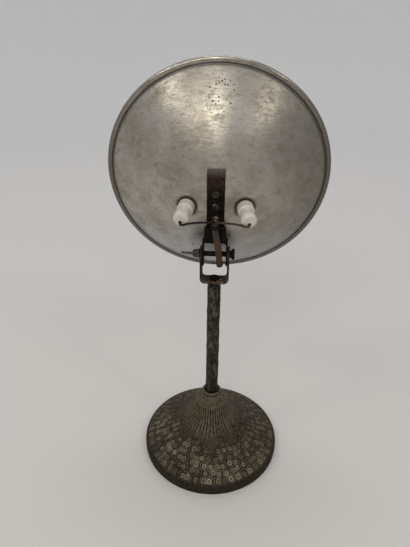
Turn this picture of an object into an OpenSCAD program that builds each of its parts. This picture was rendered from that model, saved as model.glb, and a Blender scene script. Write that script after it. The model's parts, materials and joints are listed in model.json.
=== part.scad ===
// Electric bowl fire: a spun reflector that tilts in a clamped yoke,
// on a round stem and a hammered cast foot.
// Millimetres, Z up. Origin at the centre of the foot on the floor.
// The terminal side of the bowl faces -Y and the heated side faces +Y.

/* [Foot] */
// Diameter of the foot on the floor
foot_d = 180; // [150:1:220]
// Height of the upright edge of the foot
foot_edge_h = 8.5; // [6:0.5:11]
// Height at which the shoulder meets the slope
foot_shoulder_h = 13.5; // [12:0.5:20]
// Wall of the casting
foot_wall = 5; // [3.5:0.5:7]
// Diameter of the neck at the foot of its band
neck_d = 41; // [34:1:46]
// Height at which the slope runs into the neck band
neck_foot_h = 74.5; // [60:0.5:90]
// Height of the neck above the foot of its band
neck_h = 16; // [14:0.5:24]
// Diameter of the collar ring on top of the neck
collar_d = 24.6; // [22:0.2:28]
// Depth of the socket that the stem stands in
socket_depth = 6; // [3:0.5:8]
// Gap between the stem and the socket wall
socket_gap = 0.8; // [0.5:0.1:1.5]
// Number of flutes round the neck
flute_n = 44; // [24:2:52]
// Height of a flute
flute_h = 0.9; // [0.4:0.1:1.4]
// Width of a flute
flute_w = 1.3; // [0.8:0.1:1.6]

/* [Stem] */
// Diameter of the stem
stem_d = 16.4; // [13:0.2:18]
// Length of the stem between the foot and the yoke
stem_len = 169; // [120:0.5:260]
// Diameter of the threaded spigot through the foot
spigot_d = 10; // [8:0.5:11]
// Thickness of the washer under the foot
foot_washer_t = 1.6; // [1:0.2:3]
// Diameter of the washer under the foot
foot_washer_d = 26; // [22:1:30]
// Width across flats of the nut under the foot
foot_nut_af = 17; // [15:0.5:19]
// Thickness of the nut under the foot
foot_nut_t = 8; // [5:0.5:10]

/* [Yoke] */
// Thickness of the yoke strip
yoke_t = 2.4; // [2:0.1:3.2]
// Width of the yoke strip
yoke_w = 18; // [14:0.5:22]
// Width of the yoke over its arms
yoke_span = 32.8; // [30:0.2:40]
// Outer radius of the yoke's lower corners
yoke_corner_r = 6; // [4:0.5:8]
// Height of the pivot above the underside of the yoke
pivot_rise = 34; // [30:0.5:44]
// Diameter of the screw that holds the yoke to the stem
yoke_screw_d = 6; // [5:0.5:8]
// Diameter of that screw's head
yoke_screw_head_d = 12; // [10:0.5:14]

/* [Pivot] */
// Diameter of the pivot bolt
bolt_d = 6; // [5:0.5:7]
// Width across flats of the bolt head
bolt_head_af = 12; // [10:0.5:13]
// Thickness of the bolt head
bolt_head_t = 3.4; // [2.5:0.1:5]
// Thickness of the spacer under the bolt head
head_spacer_t = 2.1; // [1:0.1:3]
// Diameter of the spacer under the bolt head
head_spacer_d = 8.6; // [8:0.2:10]
// Thickness of the washer under the wing nut
nut_washer_t = 1.2; // [0.8:0.1:2]
// Length of the wing nut's hub
wing_hub_len = 6.6; // [5:0.2:9]
// Reach of each wing from the axis
wing_reach = 14; // [11:0.5:15]
// Length of the wing nut from its face to its wing tips
wing_len = 19.8; // [16:0.2:22]
// Thickness of the wings
wing_t = 2.2; // [1.6:0.1:3]
// Turn of the wing nut about its axis
wing_turn = 118; // [0:1:179]

/* [Clevis and strap] */
// Thickness of the clevis plate
clevis_t = 1.8; // [1.4:0.1:2.2]
// Side gap between the clevis and each yoke arm
clevis_gap = 0.1; // [0.05:0.05:0.4]
// Height of the arch above the pivot
arch_h = 17; // [14:0.5:19]
// Height of the clevis top above the pivot
clevis_top = 37.5; // [35:0.5:38]
// Width of the clevis at its top
clevis_top_w = 22.5; // [20:0.5:24]
// Radius of the rounded ear ends
ear_r = 8; // [6:0.5:9]
// Distance of the ear ends' centre below the pivot
ear_drop = 7; // [3:0.5:10]
// Width of the strap
strap_w = 18.4; // [14:0.2:20]
// Thickness of the strap
strap_t = 3; // [2:0.1:4]
// Height of the strap's lower end above the pivot
strap_foot = 18; // [17.5:0.5:19.5]
// Height of the bowl's axis above the pivot
axis_rise = 65; // [60:0.5:75]
// Reach of the strap above the bowl's axis
strap_reach = 33; // [30:0.5:44]
// Length of the bent end of the strap
strap_bend = 13; // [8:0.5:16]
// Distance of the upper strap screw above the bowl's axis
strap_screw_up = 10; // [8:0.5:12]
// Distance of the lower strap screw below the bowl's axis
strap_screw_down = 4; // [3:0.5:5.5]
// Diameter of the strap screws
strap_screw_d = 4; // [3:0.5:5]
// Diameter of the strap screws' heads
strap_screw_head_d = 7.6; // [6.5:0.1:9]

/* [Bowl] */
// Diameter of the bowl over its rolled rim
bowl_d = 250; // [200:1:300]
// Focal length of the bowl
bowl_f = 60; // [52:1:75]
// Thickness of the spun sheet
bowl_t = 1; // [0.8:0.1:1.6]
// Diameter of the rolled rim
bead_d = 6.4; // [6:0.2:9]
// Diameter of the wire inside the rolled rim
rim_wire_d = 4.2; // [3:0.2:4.4]
// Diameter of the pressed seats for the insulators
seat_d = 25; // [23:0.5:27]
// Diameter of the spare hole low in the bowl
spare_hole_d = 2; // [1.5:0.1:3]
// Tilt of the bowl from upright, face up
rest_tilt = 9.7; // [0:0.1:20]

/* [Terminals and element] */
// Distance of each insulator seat from the middle
ins_x = 30; // [28:0.5:36]
// Distance of the terminals and the element below the bowl's axis
terminal_drop = 6.5; // [0:0.5:8]
// Outward splay of each insulator
ins_splay = 8; // [0:0.5:9]
// Diameter of the insulator collar
ins_collar_d = 17.5; // [16:0.1:19]
// Length of the insulator collar
ins_collar_len = 10; // [8:0.5:12]
// Diameter of the insulator waist
ins_waist_d = 14; // [12:0.1:15]
// Diameter of the insulator end
ins_end_d = 16; // [14:0.1:17]
// Length of the insulator behind the bowl seat
ins_len = 30; // [26:0.5:40]
// Diameter of the lead hole in the insulator end
ins_hole_d = 3.6; // [3:0.1:4.5]
// Distance of that hole below the middle of the insulator end
ins_hole_drop = 2.6; // [0:0.2:2.8]
// Diameter of the insulator neck through the bowl
ins_neck_d = 11.4; // [10:0.2:13]
// Diameter of the board washer under the insulator
ins_washer_d = 21; // [19:0.5:22]
// Thickness of the board washer under the insulator
ins_washer_t = 1; // [0.6:0.1:1.6]
// Diameter of the inner bush
bush_d = 19; // [17:0.5:21]
// Length of the inner bush
bush_len = 9; // [7:0.5:12]
// Diameter of the terminal posts
post_d = 5; // [4:0.2:6]
// Diameter of the pillar on the front of each post
pillar_d = 7.4; // [6.8:0.1:8]
// Width across flats of the post nuts
post_nut_af = 9; // [8:0.5:11]
// Thickness of the post nuts
post_nut_t = 3.6; // [2.5:0.1:5]
// Diameter of the fireclay bar
bar_d = 13; // [10:0.5:15]
// Gap between the bar's flanges and the spring clips
flange_gap = 0.5; // [0.2:0.1:2]
// Diameter of the bar's end sleeves
sleeve_d = 12; // [10:0.5:13]
// Length of the bar's end sleeves
sleeve_len = 15; // [12:0.5:18]
// Diameter of the flange on each end sleeve
flange_d = 18; // [17:0.5:20]
// Thickness of the flange on each end sleeve
flange_t = 1.6; // [1:0.1:2.5]
// Thickness of the spring clips
clip_t = 1.2; // [0.8:0.1:1.6]
// Width of the spring clips
clip_w = 8; // [6:0.5:9]
// Turns of the heating coil
coil_turns = 15; // [8:1:17]
// Diameter of the heating wire
coil_wire_d = 1.1; // [0.8:0.1:1.3]

/* [Guard] */
// Diameter of the guard's ring wire
guard_ring_wire_d = 3; // [2.4:0.1:4]
// Diameter of the guard's rib and hoop wire
guard_wire_d = 2.4; // [1.8:0.1:3]
// Height of the guard's dome
guard_dome = 34; // [24:1:50]
// Number of guard ribs
guard_rib_n = 8; // [6:1:10]
// Radius of the middle hoop
guard_hoop_r = 62; // [45:1:80]
// Radius of the centre ring
guard_eye_r = 15; // [13:0.5:20]

/* [Cord and leads] */
// Diameter of the supply cord
cord_d = 7.2; // [6:0.2:8.4]
// Diameter of the two leads
lead_d = 2.3; // [1.4:0.1:2.4]
// Width of the cord clip
cord_clip_w = 9; // [8:0.5:12]
// Thickness of the cord clip
cord_clip_t = 1.2; // [1:0.1:1.6]
// Diameter of the cord clip's screw
cord_clip_screw_d = 3; // [2.5:0.5:3.5]

/* [Hidden] */
$fn = 64;

// Clearance of a close fit, on the radius
fit = 0.05;
// Gap left between curved faces of separate pieces
gap = 0.15;

// Heights along the stand
neck_top = neck_foot_h + neck_h;
stem_z = neck_top - socket_depth;
yoke_z = stem_z + stem_len;
pivot_z = yoke_z + pivot_rise;
yoke_in = yoke_span / 2 - yoke_t;

// Foot profile: a slope drawn by one cubic curve from neck to shoulder
foot_r = foot_d / 2;
slope = [[neck_d / 2, neck_foot_h], [neck_d / 2 + 0.3, neck_foot_h * 0.64],
  [foot_r * 0.42, neck_foot_h * 0.43], [foot_r - 5, foot_shoulder_h]];
slope_n = 18;
core_t = 0.28;

// Bowl, measured along its axis from the back of the pole
bead_r = bead_d / 2;
bead_t = bowl_t * 0.9;
rim_r = bowl_d / 2 - bead_r;
rim_wire_r = min(rim_wire_d / 2, bead_r - bead_t - 0.1);
spare_hole = [-27, -4.5];
rim_a = rim_r * rim_r / (4 * bowl_f);
sheet_r = rim_r - (bead_r - bead_t / 2) * cos(atan(rim_r / (2 * bowl_f)));
seat_a = pow(ins_x - seat_d / 2, 2) / (4 * bowl_f) - 0.35
  + seat_d / 2 * tan(ins_splay);

// Clevis and strap planes, along the bowl's axis
strap_back = -strap_t;
clevis_back = strap_back - clevis_t;
ear_out = yoke_in - clevis_gap;
ear_in = ear_out - clevis_t;
rivet_us = [strap_foot + 4.5, strap_foot + 13.5];
rivet_d = 4;
clip_screw_u = clevis_top + 10;

// Element, across the bowl just below its focus
bar_a = bowl_f - 2;
bar_u = axis_rise - terminal_drop;
coil_r = bar_d / 2 + coil_wire_d / 2 + 0.3;
clip_back = bar_a - sleeve_d / 2 - fit - clip_t;

// Terminals, each along its own splayed line from the face of its seat
ins_shoulder = -ins_washer_t;
ins_rear = ins_shoulder - ins_len;
post_rear = ins_rear + 12;
pillar_in = 3;
pillar_z = bowl_t + bush_len + post_nut_t + 2 + pillar_in;
clip_x = ins_x - pillar_z * sin(ins_splay);
pillar_a = seat_a + pillar_z * cos(ins_splay);
bar_len = 2 * (clip_x - clip_w / 2 - flange_t - flange_gap);

// Guard ring seat on the inside of the bowl, and the dome over it
ring_on = rim_r - 5;
ring_off = bowl_t + guard_ring_wire_d / 2 + gap;
ring_slope = atan(ring_on / (2 * bowl_f));
ring_r = ring_on - ring_off * sin(ring_slope);
ring_a = ring_on * ring_on / (4 * bowl_f) + ring_off * cos(ring_slope);
rib_a = ring_a + guard_ring_wire_d / 2 + guard_wire_d / 2 + gap + 0.5;
dome_r = (ring_r * ring_r + guard_dome * guard_dome) / (2 * guard_dome);
dome_c = rib_a + guard_dome - dome_r;
hoop_off = dome_r - guard_wire_d - gap;

// Cord: across, along the bowl's axis and up from the pivot, behind the clevis
cord_a = clevis_back - 2 * gap - cord_d / 2;
clip_low = clevis_top + 0.7;
cord_top = 43.5;
cord_route = [[0, 0, cord_top], [0, 0, 37.5], [1.2, 0, 28], [3, -0.5, 18],
  [4.3, -1, 8], [5.2, -1, -1], [5.8, -0.5, -9.5]];

// Leads: from the post, out of the insulator, then over to the end of the cord
lead_out = in_hole(ins_rear);
lead_in = [1.5, cord_a, cord_top + 0.7];
lead_route = [in_hole(post_rear), in_hole(ins_rear + 5), in_hole(ins_rear - 0.2),
  lead_at(0, [-0.7, -2.4, -0.9]), lead_at(0, [-4.2, -3, -0.4]), lead_at(0.3, [0, -3, 1.2]),
  lead_at(0.55, [0, -2, 1.8]), lead_at(0.8, [0, -1.2, 1.8]),
  lead_at(1, [1.2, -0.6, 1.8]), lead_in];

function bez(p, t) = pow(1 - t, 3) * p[0] + 3 * t * pow(1 - t, 2) * p[1]
  + 3 * t * t * (1 - t) * p[2] + pow(t, 3) * p[3];
function bez_dir(p, t) = pow(1 - t, 2) * (p[1] - p[0])
  + 2 * t * (1 - t) * (p[2] - p[1]) + t * t * (p[3] - p[2]);
function unit(v) = v / norm(v);
function out_of(v) = [-v[1], v[0]] / norm(v);
function slope_at(t, off) = bez(slope, t) + off * out_of(bez_dir(slope, t));
function bowl_back(r) = [r, r * r / (4 * bowl_f)];
function bowl_face(r, off) = bowl_back(r)
  + off * [-sin(atan(r / (2 * bowl_f))), cos(atan(r / (2 * bowl_f)))];
// A point of the right terminal's line, z along it from its seat
function on_terminal(z) = [ins_x - z * sin(ins_splay), seat_a + z * cos(ins_splay),
  bar_u];
function in_hole(z) = on_terminal(z) - [0, 0, ins_hole_drop];
function lead_at(t, off) = lead_out + t * (lead_in - lead_out) + off;
function back_at(x, u) = (x * x + pow(u - axis_rise, 2)) / (4 * bowl_f);

// A smooth run of points through the given ones, m steps to each stretch
function cr(a, b, c, d, t) = 0.5 * (2 * b + (c - a) * t
  + (2 * a - 5 * b + 4 * c - d) * t * t + (3 * b - a - 3 * c + d) * t * t * t);
function spline(p, m) = [for (i = [0 : len(p) - 2]) for (j = [0 : m - 1])
  cr(p[max(i - 1, 0)], p[i], p[i + 1], p[min(i + 2, len(p) - 1)], j / m),
  p[len(p) - 1]];

// A round tube along a path; refs are directions that its points never take
module tube(path, d, sides, refs) {
  n = len(path);
  dirs = [for (i = [0 : n - 1]) unit(path[min(i + 1, n - 1)] - path[max(i - 1, 0)])];
  pts = [for (i = [0 : n - 1]) let (s = unit(cross(refs[i], dirs[i])), w = cross(dirs[i], s))
    for (k = [0 : sides - 1])
      path[i] + (s * cos(360 * k / sides) + w * sin(360 * k / sides)) * d / 2];
  ends = [for (k = [1 : sides - 2]) each [[0, k, k + 1],
    [(n - 1) * sides, (n - 1) * sides + k + 1, (n - 1) * sides + k]]];
  walls = [for (i = [0 : n - 2]) for (k = [0 : sides - 1])
    let (a = i * sides + k, b = i * sides + (k + 1) % sides)
    each [[a, a + sides, b + sides], [a, b + sides, b]]];
  polyhedron(points = pts, faces = concat(ends, walls));
}

// The tilting head's frame: origin on the pivot, tilted to its rest
module head() {
  translate([0, 0, pivot_z])
    rotate([rest_tilt, 0, 0])
      children();
}

// The bowl's axis, inside the head's frame
module on_axis() {
  translate([0, 0, axis_rise])
    rotate([-90, 0, 0])
      children();
}

// One terminal's own frame, z forward along its line from its seat;
// side is 1 for the right and -1 for the left, which is its mirror image
module terminal(side) {
  mirror([side < 0 ? 1 : 0, 0, 0])
    translate([ins_x, terminal_drop, seat_a])
      rotate([0, -ins_splay, 0])
        children();
}

module at_terminals() {
  for (side = [-1, 1])
    terminal(side)
      children();
}

// Extrude a side view, drawn along the bowl's axis and up, across by w
module across(w) {
  translate([-w / 2, 0, 0])
    rotate([90, 0, 90])
      linear_extrude(w)
        children();
}

module hex(af, h) {
  cylinder(d = af / cos(30), h = h, $fn = 6);
}

// Upright-ended slot with rounded upper corners, for the arch and the yoke
module arch_shape(w, h, r) {
  translate([-w / 2, 0])
    square([w, h - r]);
  translate([-w / 2 + r, 0])
    square([w - 2 * r, h]);
  for (s = [-1, 1])
    translate([s * (w / 2 - r), h - r])
      circle(r);
}

module foot_flutes() {
  fade = 0.42;
  steps = 8;
  ridge = [for (i = [0 : steps]) let (t = fade * i / steps)
    slope_at(t, flute_h * (1 - pow(i / steps, 3)) + 0.02)];
  root = [for (i = [steps : -1 : 0]) slope_at(fade * i / steps, -0.8)];
  for (k = [0 : flute_n - 1])
    rotate([0, 0, 360 * k / flute_n])
      translate([0, flute_w / 2, 0])
        rotate([90, 0, 0])
          linear_extrude(flute_w)
            polygon(concat(ridge, root));
}

// Inside of the casting, from the flat that the nut pulls up to out to the edge
core = [for (i = [0 : slope_n]) slope_at(core_t + (1 - core_t) * i / slope_n, -foot_wall)];
seat_z = core[0][1];

module foot() {
  edge_in = foot_r - foot_wall;
  shell = concat(
    [[0, 0], [foot_r, 0], [foot_r, foot_edge_h]],
    [for (i = [1 : 5]) [foot_r - 5 + 5 * cos(18 * i),
      foot_edge_h + (foot_shoulder_h - foot_edge_h) * sin(18 * i)]],
    [for (i = [slope_n - 1 : -1 : 0]) bez(slope, i / slope_n)],
    [[neck_d / 2 + flute_h, neck_foot_h + 0.4], [neck_d / 2 + flute_h, neck_foot_h + 1.6],
      [collar_d / 2 + 0.6, neck_top - 4], [collar_d / 2, neck_top - 3],
      [collar_d / 2, neck_top - 0.8], [collar_d / 2 - 0.8, neck_top], [0, neck_top]]);
  hollow = concat([[0, seat_z]],
    [for (p = core) if (p[0] < edge_in) p],
    [[edge_in, foot_shoulder_h - foot_wall - 3], [edge_in, -1], [0, -1]]);
  color("#3a3029")
    difference() {
      union() {
        rotate_extrude($fn = 96)
          polygon(shell);
        foot_flutes();
      }
      rotate_extrude($fn = 96)
        polygon(hollow);
      cylinder(d = spigot_d + 2 * fit, h = neck_top + 1);
      translate([0, 0, stem_z])
        cylinder(d = stem_d + 2 * socket_gap, h = socket_depth + 1);
    }
}

module foot_washer() {
  color("#5a544c")
    translate([0, 0, seat_z - foot_washer_t])
      difference() {
        cylinder(d = foot_washer_d, h = foot_washer_t);
        translate([0, 0, -1])
          cylinder(d = spigot_d + 0.6, h = foot_washer_t + 2);
      }
}

module foot_nut() {
  color("#5a544c")
    translate([0, 0, seat_z - foot_washer_t - foot_nut_t])
      difference() {
        hex(foot_nut_af, foot_nut_t);
        translate([0, 0, -1])
          cylinder(d = spigot_d + 2 * fit, h = foot_nut_t + 2);
      }
}

module stem() {
  spigot_low = seat_z - foot_washer_t - foot_nut_t - 2;
  color("#46392f")
    difference() {
      union() {
        translate([0, 0, stem_z])
          cylinder(d = stem_d, h = stem_len);
        translate([0, 0, spigot_low])
          cylinder(d = spigot_d, h = stem_z - spigot_low + 1);
      }
      translate([0, 0, yoke_z - 16])
        cylinder(d = yoke_screw_d + 2 * fit, h = 17);
    }
}

module yoke() {
  top = pivot_rise + yoke_w / 2;
  inner_r = yoke_corner_r - yoke_t;
  color("#3b2f27")
    translate([0, 0, yoke_z])
      difference() {
        intersection() {
          translate([0, yoke_w / 2, 0])
            rotate([90, 0, 0])
              linear_extrude(yoke_w)
                difference() {
                  translate([0, top])
                    mirror([0, 1])
                      arch_shape(yoke_span, top, yoke_corner_r);
                  translate([0, top + 1])
                    mirror([0, 1])
                      arch_shape(2 * yoke_in, top + 1 - yoke_t, inner_r);
                }
          across(yoke_span + 2) {
            translate([-yoke_w / 2, 0])
              square([yoke_w, pivot_rise]);
            translate([0, pivot_rise])
              circle(yoke_w / 2);
          }
        }
        translate([-yoke_span, 0, pivot_rise])
          rotate([0, 90, 0])
            cylinder(d = bolt_d + 2 * fit, h = 2 * yoke_span);
        translate([0, 0, -1])
          cylinder(d = yoke_screw_d + 2 * fit, h = yoke_t + 2);
      }
}

module yoke_screw() {
  color("#4d3c2e")
    translate([0, 0, yoke_z])
      difference() {
        union() {
          translate([0, 0, -14])
            cylinder(d = yoke_screw_d, h = 14 + yoke_t + 1);
          translate([0, 0, yoke_t])
            cylinder(d = yoke_screw_head_d, h = 2.2);
          translate([0, 0, yoke_t + 2.2])
            cylinder(d1 = yoke_screw_head_d, d2 = yoke_screw_head_d - 3, h = 0.8);
        }
        translate([-yoke_screw_head_d, -0.7, yoke_t + 1.8])
          cube([2 * yoke_screw_head_d, 1.4, 3]);
      }
}

// Places along the pivot: right of the yoke for the head, left for the wing nut
head_x = yoke_span / 2 + head_spacer_t;
nut_x = yoke_span / 2 + nut_washer_t;

module pivot_bolt() {
  left = nut_x + wing_hub_len + 0.6;
  color("#2e2723")
    translate([0, 0, pivot_z])
      rotate([0, 90, 0]) {
        translate([0, 0, -left])
          cylinder(d = bolt_d, h = left + head_x + 0.5);
        translate([0, 0, head_x])
          intersection() {
            hex(bolt_head_af, bolt_head_t);
            cylinder(d1 = bolt_head_af + 6, d2 = bolt_head_af - 0.4, h = bolt_head_t);
          }
      }
}

module ring_on_bolt(d, t) {
  difference() {
    cylinder(d = d, h = t);
    translate([0, 0, -1])
      cylinder(d = bolt_d + 2 * fit, h = t + 2);
  }
}

module head_spacer() {
  color("#3a302a")
    translate([yoke_span / 2, 0, pivot_z])
      rotate([0, 90, 0])
        ring_on_bolt(head_spacer_d, head_spacer_t);
}

module nut_washer() {
  color("#3a302a")
    translate([-yoke_span / 2, 0, pivot_z])
      rotate([0, -90, 0])
        ring_on_bolt(bolt_d + 5, nut_washer_t);
}

// Drawn from its clamping face outward, then turned onto the bolt
module wing_nut() {
  tip = 3.2;
  wing = [[1, bolt_d / 2 + 0.4], [wing_hub_len - 0.4, bolt_d / 2 + 0.4],
    [wing_len - tip * 0.8, wing_reach - 1.7 * tip], [wing_len - 0.35 * tip, wing_reach - 0.55 * tip],
    [wing_len - 1.8 * tip, wing_reach - 0.3 * tip], [wing_hub_len * 0.55, bolt_d / 2 + 4.5]];
  color("#4b3b30")
    translate([-nut_x, 0, pivot_z])
      rotate([0, -90, 0])
        rotate([0, 0, wing_turn])
          difference() {
            union() {
              cylinder(d1 = bolt_d + 4, d2 = bolt_d + 2.6, h = wing_hub_len);
              for (s = [0, 180])
                rotate([0, 0, s])
                  translate([0, wing_t / 2, 0])
                    rotate([90, 0, 0])
                      linear_extrude(wing_t) {
                        polygon([for (p = wing) [p[1], p[0]]]);
                        translate([wing_reach - tip, wing_len - tip])
                          circle(tip, $fn = 32);
                      }
            }
            translate([0, 0, -1])
              cylinder(d = bolt_d + 2 * fit, h = wing_len + 2);
          }
}

module clevis() {
  shoulder = arch_h + 1.5;
  low = arch_h - 4;
  color("#2a231f")
    head()
      difference() {
        union() {
          translate([0, clevis_back + clevis_t, 0])
            rotate([90, 0, 0])
              linear_extrude(clevis_t)
                difference() {
                  polygon([[-ear_out, low], [ear_out, low], [ear_out, shoulder],
                    [ear_out - 1.4, shoulder + 2.5], [clevis_top_w / 2, clevis_top],
                    [-clevis_top_w / 2, clevis_top], [1.4 - ear_out, shoulder + 2.5],
                    [-ear_out, shoulder]]);
                  translate([0, low - 1])
                    arch_shape(2 * ear_in, arch_h - low + 1, 3);
                }
          for (s = [-1, 1])
            translate([s * (ear_in + clevis_t / 2), 0, 0])
              across(clevis_t) {
                translate([0, -ear_drop])
                  circle(ear_r);
                translate([-ear_r, -ear_drop])
                  square([2 * ear_r, ear_drop + ear_r]);
                polygon([[-ear_r, ear_r], [ear_r, ear_r], [ear_r - 2, arch_h],
                  [clevis_back + clevis_t, shoulder], [clevis_back, shoulder],
                  [clevis_back, arch_h]]);
              }
        }
        translate([-yoke_span, 0, 0])
          rotate([0, 90, 0])
            cylinder(d = bolt_d + 2 * fit, h = 2 * yoke_span);
        for (u = rivet_us)
          translate([0, 0, u])
            rotate([90, 0, 0])
              cylinder(d = rivet_d + 2 * fit, h = 20);
      }
}

// Rivets: flush behind the clevis, with a set tail in front of the strap
module clevis_rivets() {
  color("#33291f")
    head()
      for (u = rivet_us)
        translate([0, 0, u])
          rotate([90, 0, 0]) {
            translate([0, 0, -1.4])
              cylinder(d = rivet_d + 2.4, h = 1.4);
            cylinder(d = rivet_d, h = strap_t + clevis_t);
          }
}

module strap() {
  top = axis_rise + strap_reach;
  start = top - strap_bend;
  rise = back_at(0, top) - gap;
  bend_r = (strap_bend * strap_bend + rise * rise) / (2 * rise);
  turn = asin(strap_bend / bend_r);
  arc = function (r, a) [bend_r - r * cos(a), start + r * sin(a)];
  color("#4a372b")
    head()
      difference() {
        across(strap_w)
          polygon(concat([[0, strap_foot]],
            [for (i = [0 : 8]) arc(bend_r, turn * i / 8)],
            [for (i = [8 : -1 : 0]) arc(bend_r + strap_t, turn * i / 8)],
            [[strap_back, strap_foot]]));
        for (u = strap_us)
          translate([0, 1, u])
            rotate([90, 0, 0])
              cylinder(d = strap_screw_d + 2 * fit, h = strap_t + 2);
        for (u = rivet_us)
          translate([0, 1, u])
            rotate([90, 0, 0])
              cylinder(d = rivet_d + 2 * fit, h = strap_t + 2);
        translate([0, 1, clip_screw_u])
          rotate([90, 0, 0])
            cylinder(d = cord_clip_screw_d + 2 * fit, h = strap_t + 2);
      }
}

// Inside of the bowl where the backing plate bears on its four corners
strap_us = [axis_rise - strap_screw_down, axis_rise + strap_screw_up];
plate_w = strap_w - 2;
plate_us = [strap_us[0] - 6, strap_us[1] + 6];
plate_a = back_at(plate_w / 2, plate_us[1]) + bowl_t * 1.02 + gap;
plate_t = 1.5;
strap_nut_t = 3;

module strap_screws() {
  len = plate_a + plate_t + strap_nut_t + 1;
  color("#6a5038")
    head()
      for (u = strap_us)
        translate([0, 0, u])
          rotate([90, 0, 0])
            difference() {
              union() {
                translate([0, 0, -len])
                  cylinder(d = strap_screw_d, h = len + strap_t + 1);
                translate([0, 0, strap_t])
                  cylinder(d = strap_screw_head_d, h = 1.2);
                translate([0, 0, strap_t + 1.2])
                  cylinder(d1 = strap_screw_head_d, d2 = strap_screw_head_d - 3, h = 1);
              }
              translate([-strap_screw_head_d, -0.5, strap_t + 1.2])
                cube([2 * strap_screw_head_d, 1, 3]);
            }
}

module strap_nuts() {
  color("#8a857c")
    head()
      for (u = strap_us)
        translate([0, plate_a + plate_t, u])
          rotate([-90, 0, 0])
            difference() {
              hex(strap_screw_d + 3, strap_nut_t);
              translate([0, 0, -1])
                cylinder(d = strap_screw_d + 2 * fit, h = strap_nut_t + 2);
            }
}

module backing_plate() {
  color("#77726a")
    head()
      difference() {
        translate([-plate_w / 2, plate_a, plate_us[0]])
          cube([plate_w, plate_t, plate_us[1] - plate_us[0]]);
        for (u = strap_us)
          translate([0, plate_a - 1, u])
            rotate([-90, 0, 0])
              cylinder(d = strap_screw_d + 2 * fit, h = plate_t + 2);
      }
}

// Solid of revolution in front of the sheet, used to trim the pressed seats
module bowl_front() {
  n = 14;
  far = ins_x + seat_d;
  rotate_extrude($fn = 96)
    polygon(concat([for (i = [0 : n]) bowl_face(far * i / n, bowl_t * 0.5)],
      [[far, 40], [0, 40]]));
}

module bowl() {
  n = 26;
  back = [for (i = [0 : n]) bowl_back(sheet_r * i / n)];
  face = [for (i = [n : -1 : 0]) bowl_face(sheet_r * i / n, bowl_t)];
  color("#a3a19b")
    head()
      on_axis()
        difference() {
          union() {
            difference() {
              rotate_extrude($fn = 128) {
                polygon(concat(back, face));
                translate([rim_r, rim_a])
                  difference() {
                    circle(bead_r, $fn = 32);
                    circle(bead_r - bead_t, $fn = 32);
                  }
              }
              at_terminals()
                translate([0, 0, -8])
                  cylinder(d = seat_d - bowl_t, h = 30);
            }
            difference() {
              at_terminals()
                difference() {
                  cylinder(d = seat_d, h = 12);
                  translate([0, 0, bowl_t])
                    cylinder(d = seat_d - 2 * bowl_t, h = 20);
                }
              bowl_front();
            }
          }
          at_terminals()
            translate([0, 0, -8])
              cylinder(d = ins_neck_d + 4 * fit, h = 30);
          for (u = strap_us)
            translate([0, axis_rise - u, -5])
              cylinder(d = strap_screw_d + 0.4, h = 12);
          translate([spare_hole[0], axis_rise - spare_hole[1], 0])
            cylinder(d = spare_hole_d, h = bowl_d);
        }
}

module rim_wire() {
  color("#6f6b66")
    head()
      on_axis()
        rotate_extrude($fn = 128)
          translate([rim_r, rim_a])
            circle(rim_wire_r, $fn = 32);
}

// Turned porcelain spool: neck through the bowl, collar, waist and domed end.
// Drawn from its rear end forward, along the bowl's axis.
module insulator(side) {
  end_r = ins_end_d / 2;
  waist_r = ins_waist_d / 2;
  collar_r = ins_collar_d / 2;
  collar_z = ins_shoulder - ins_collar_len;
  color("#efece2")
    head()
      on_axis()
        terminal(side)
          difference() {
            rotate_extrude($fn = 64)
              difference() {
                polygon(concat([[0, ins_rear]],
                  [for (i = [0 : 6]) [end_r - 4 + 4 * sin(15 * i), ins_rear + 4 - 4 * cos(15 * i)]],
                  [[end_r, ins_rear + 8], [waist_r, ins_rear + 10.5],
                    [waist_r, collar_z - 2], [collar_r, collar_z]],
                  [for (z = [collar_z + 2, collar_z + 5]) each [[collar_r, z],
                    [collar_r - 0.5, z + 0.5], [collar_r, z + 1]]],
                  [[collar_r, ins_shoulder - 0.6], [collar_r - 0.6, ins_shoulder],
                    [ins_neck_d / 2, ins_shoulder], [ins_neck_d / 2, bowl_t], [0, bowl_t]]));
                translate([0, post_rear])
                  square([post_d / 2 + fit, ins_len + 20]);
              }
            translate([0, ins_hole_drop, ins_rear - 1])
              cylinder(d = ins_hole_d, h = post_rear - ins_rear + 1.5, $fn = 32);
          }
}

module insulator_left() {
  insulator(-1);
}

module insulator_right() {
  insulator(1);
}

module insulator_washers() {
  color("#2b2622")
    head()
      on_axis()
        at_terminals()
          translate([0, 0, ins_shoulder])
            difference() {
              cylinder(d = ins_washer_d, h = ins_washer_t);
              translate([0, 0, -1])
                cylinder(d = ins_neck_d + 2 * fit, h = ins_washer_t + 2);
            }
}

module inner_bushes() {
  color("#ece8dc")
    head()
      on_axis()
        at_terminals()
          translate([0, 0, bowl_t])
            difference() {
              union() {
                cylinder(d = bush_d, h = bush_len - 3);
                translate([0, 0, bush_len - 3])
                  cylinder(d1 = bush_d, d2 = bush_d - 4, h = 3);
              }
              translate([0, 0, -1])
                cylinder(d = post_d + 2 * fit, h = bush_len + 2);
            }
}

// A post follows its insulator into a pillar that runs straight to its clip
module post(side) {
  color("#a58a4c")
    head()
      on_axis()
        terminal(side) {
          translate([0, 0, post_rear])
            cylinder(d = post_d, h = pillar_z + pillar_in - post_rear);
          translate([0, 0, pillar_z])
            rotate([0, ins_splay, 0])
              translate([0, 0, -pillar_in])
                cylinder(d = pillar_d, h = pillar_in + clip_back - pillar_a);
        }
}

module post_left() {
  post(-1);
}

module post_right() {
  post(1);
}

module post_nuts() {
  color("#a58a4c")
    head()
      on_axis()
        at_terminals()
          translate([0, 0, bowl_t + bush_len])
            difference() {
              hex(post_nut_af, post_nut_t);
              translate([0, 0, -1])
                cylinder(d = post_d + 2 * fit, h = post_nut_t + 2);
            }
}

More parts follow.
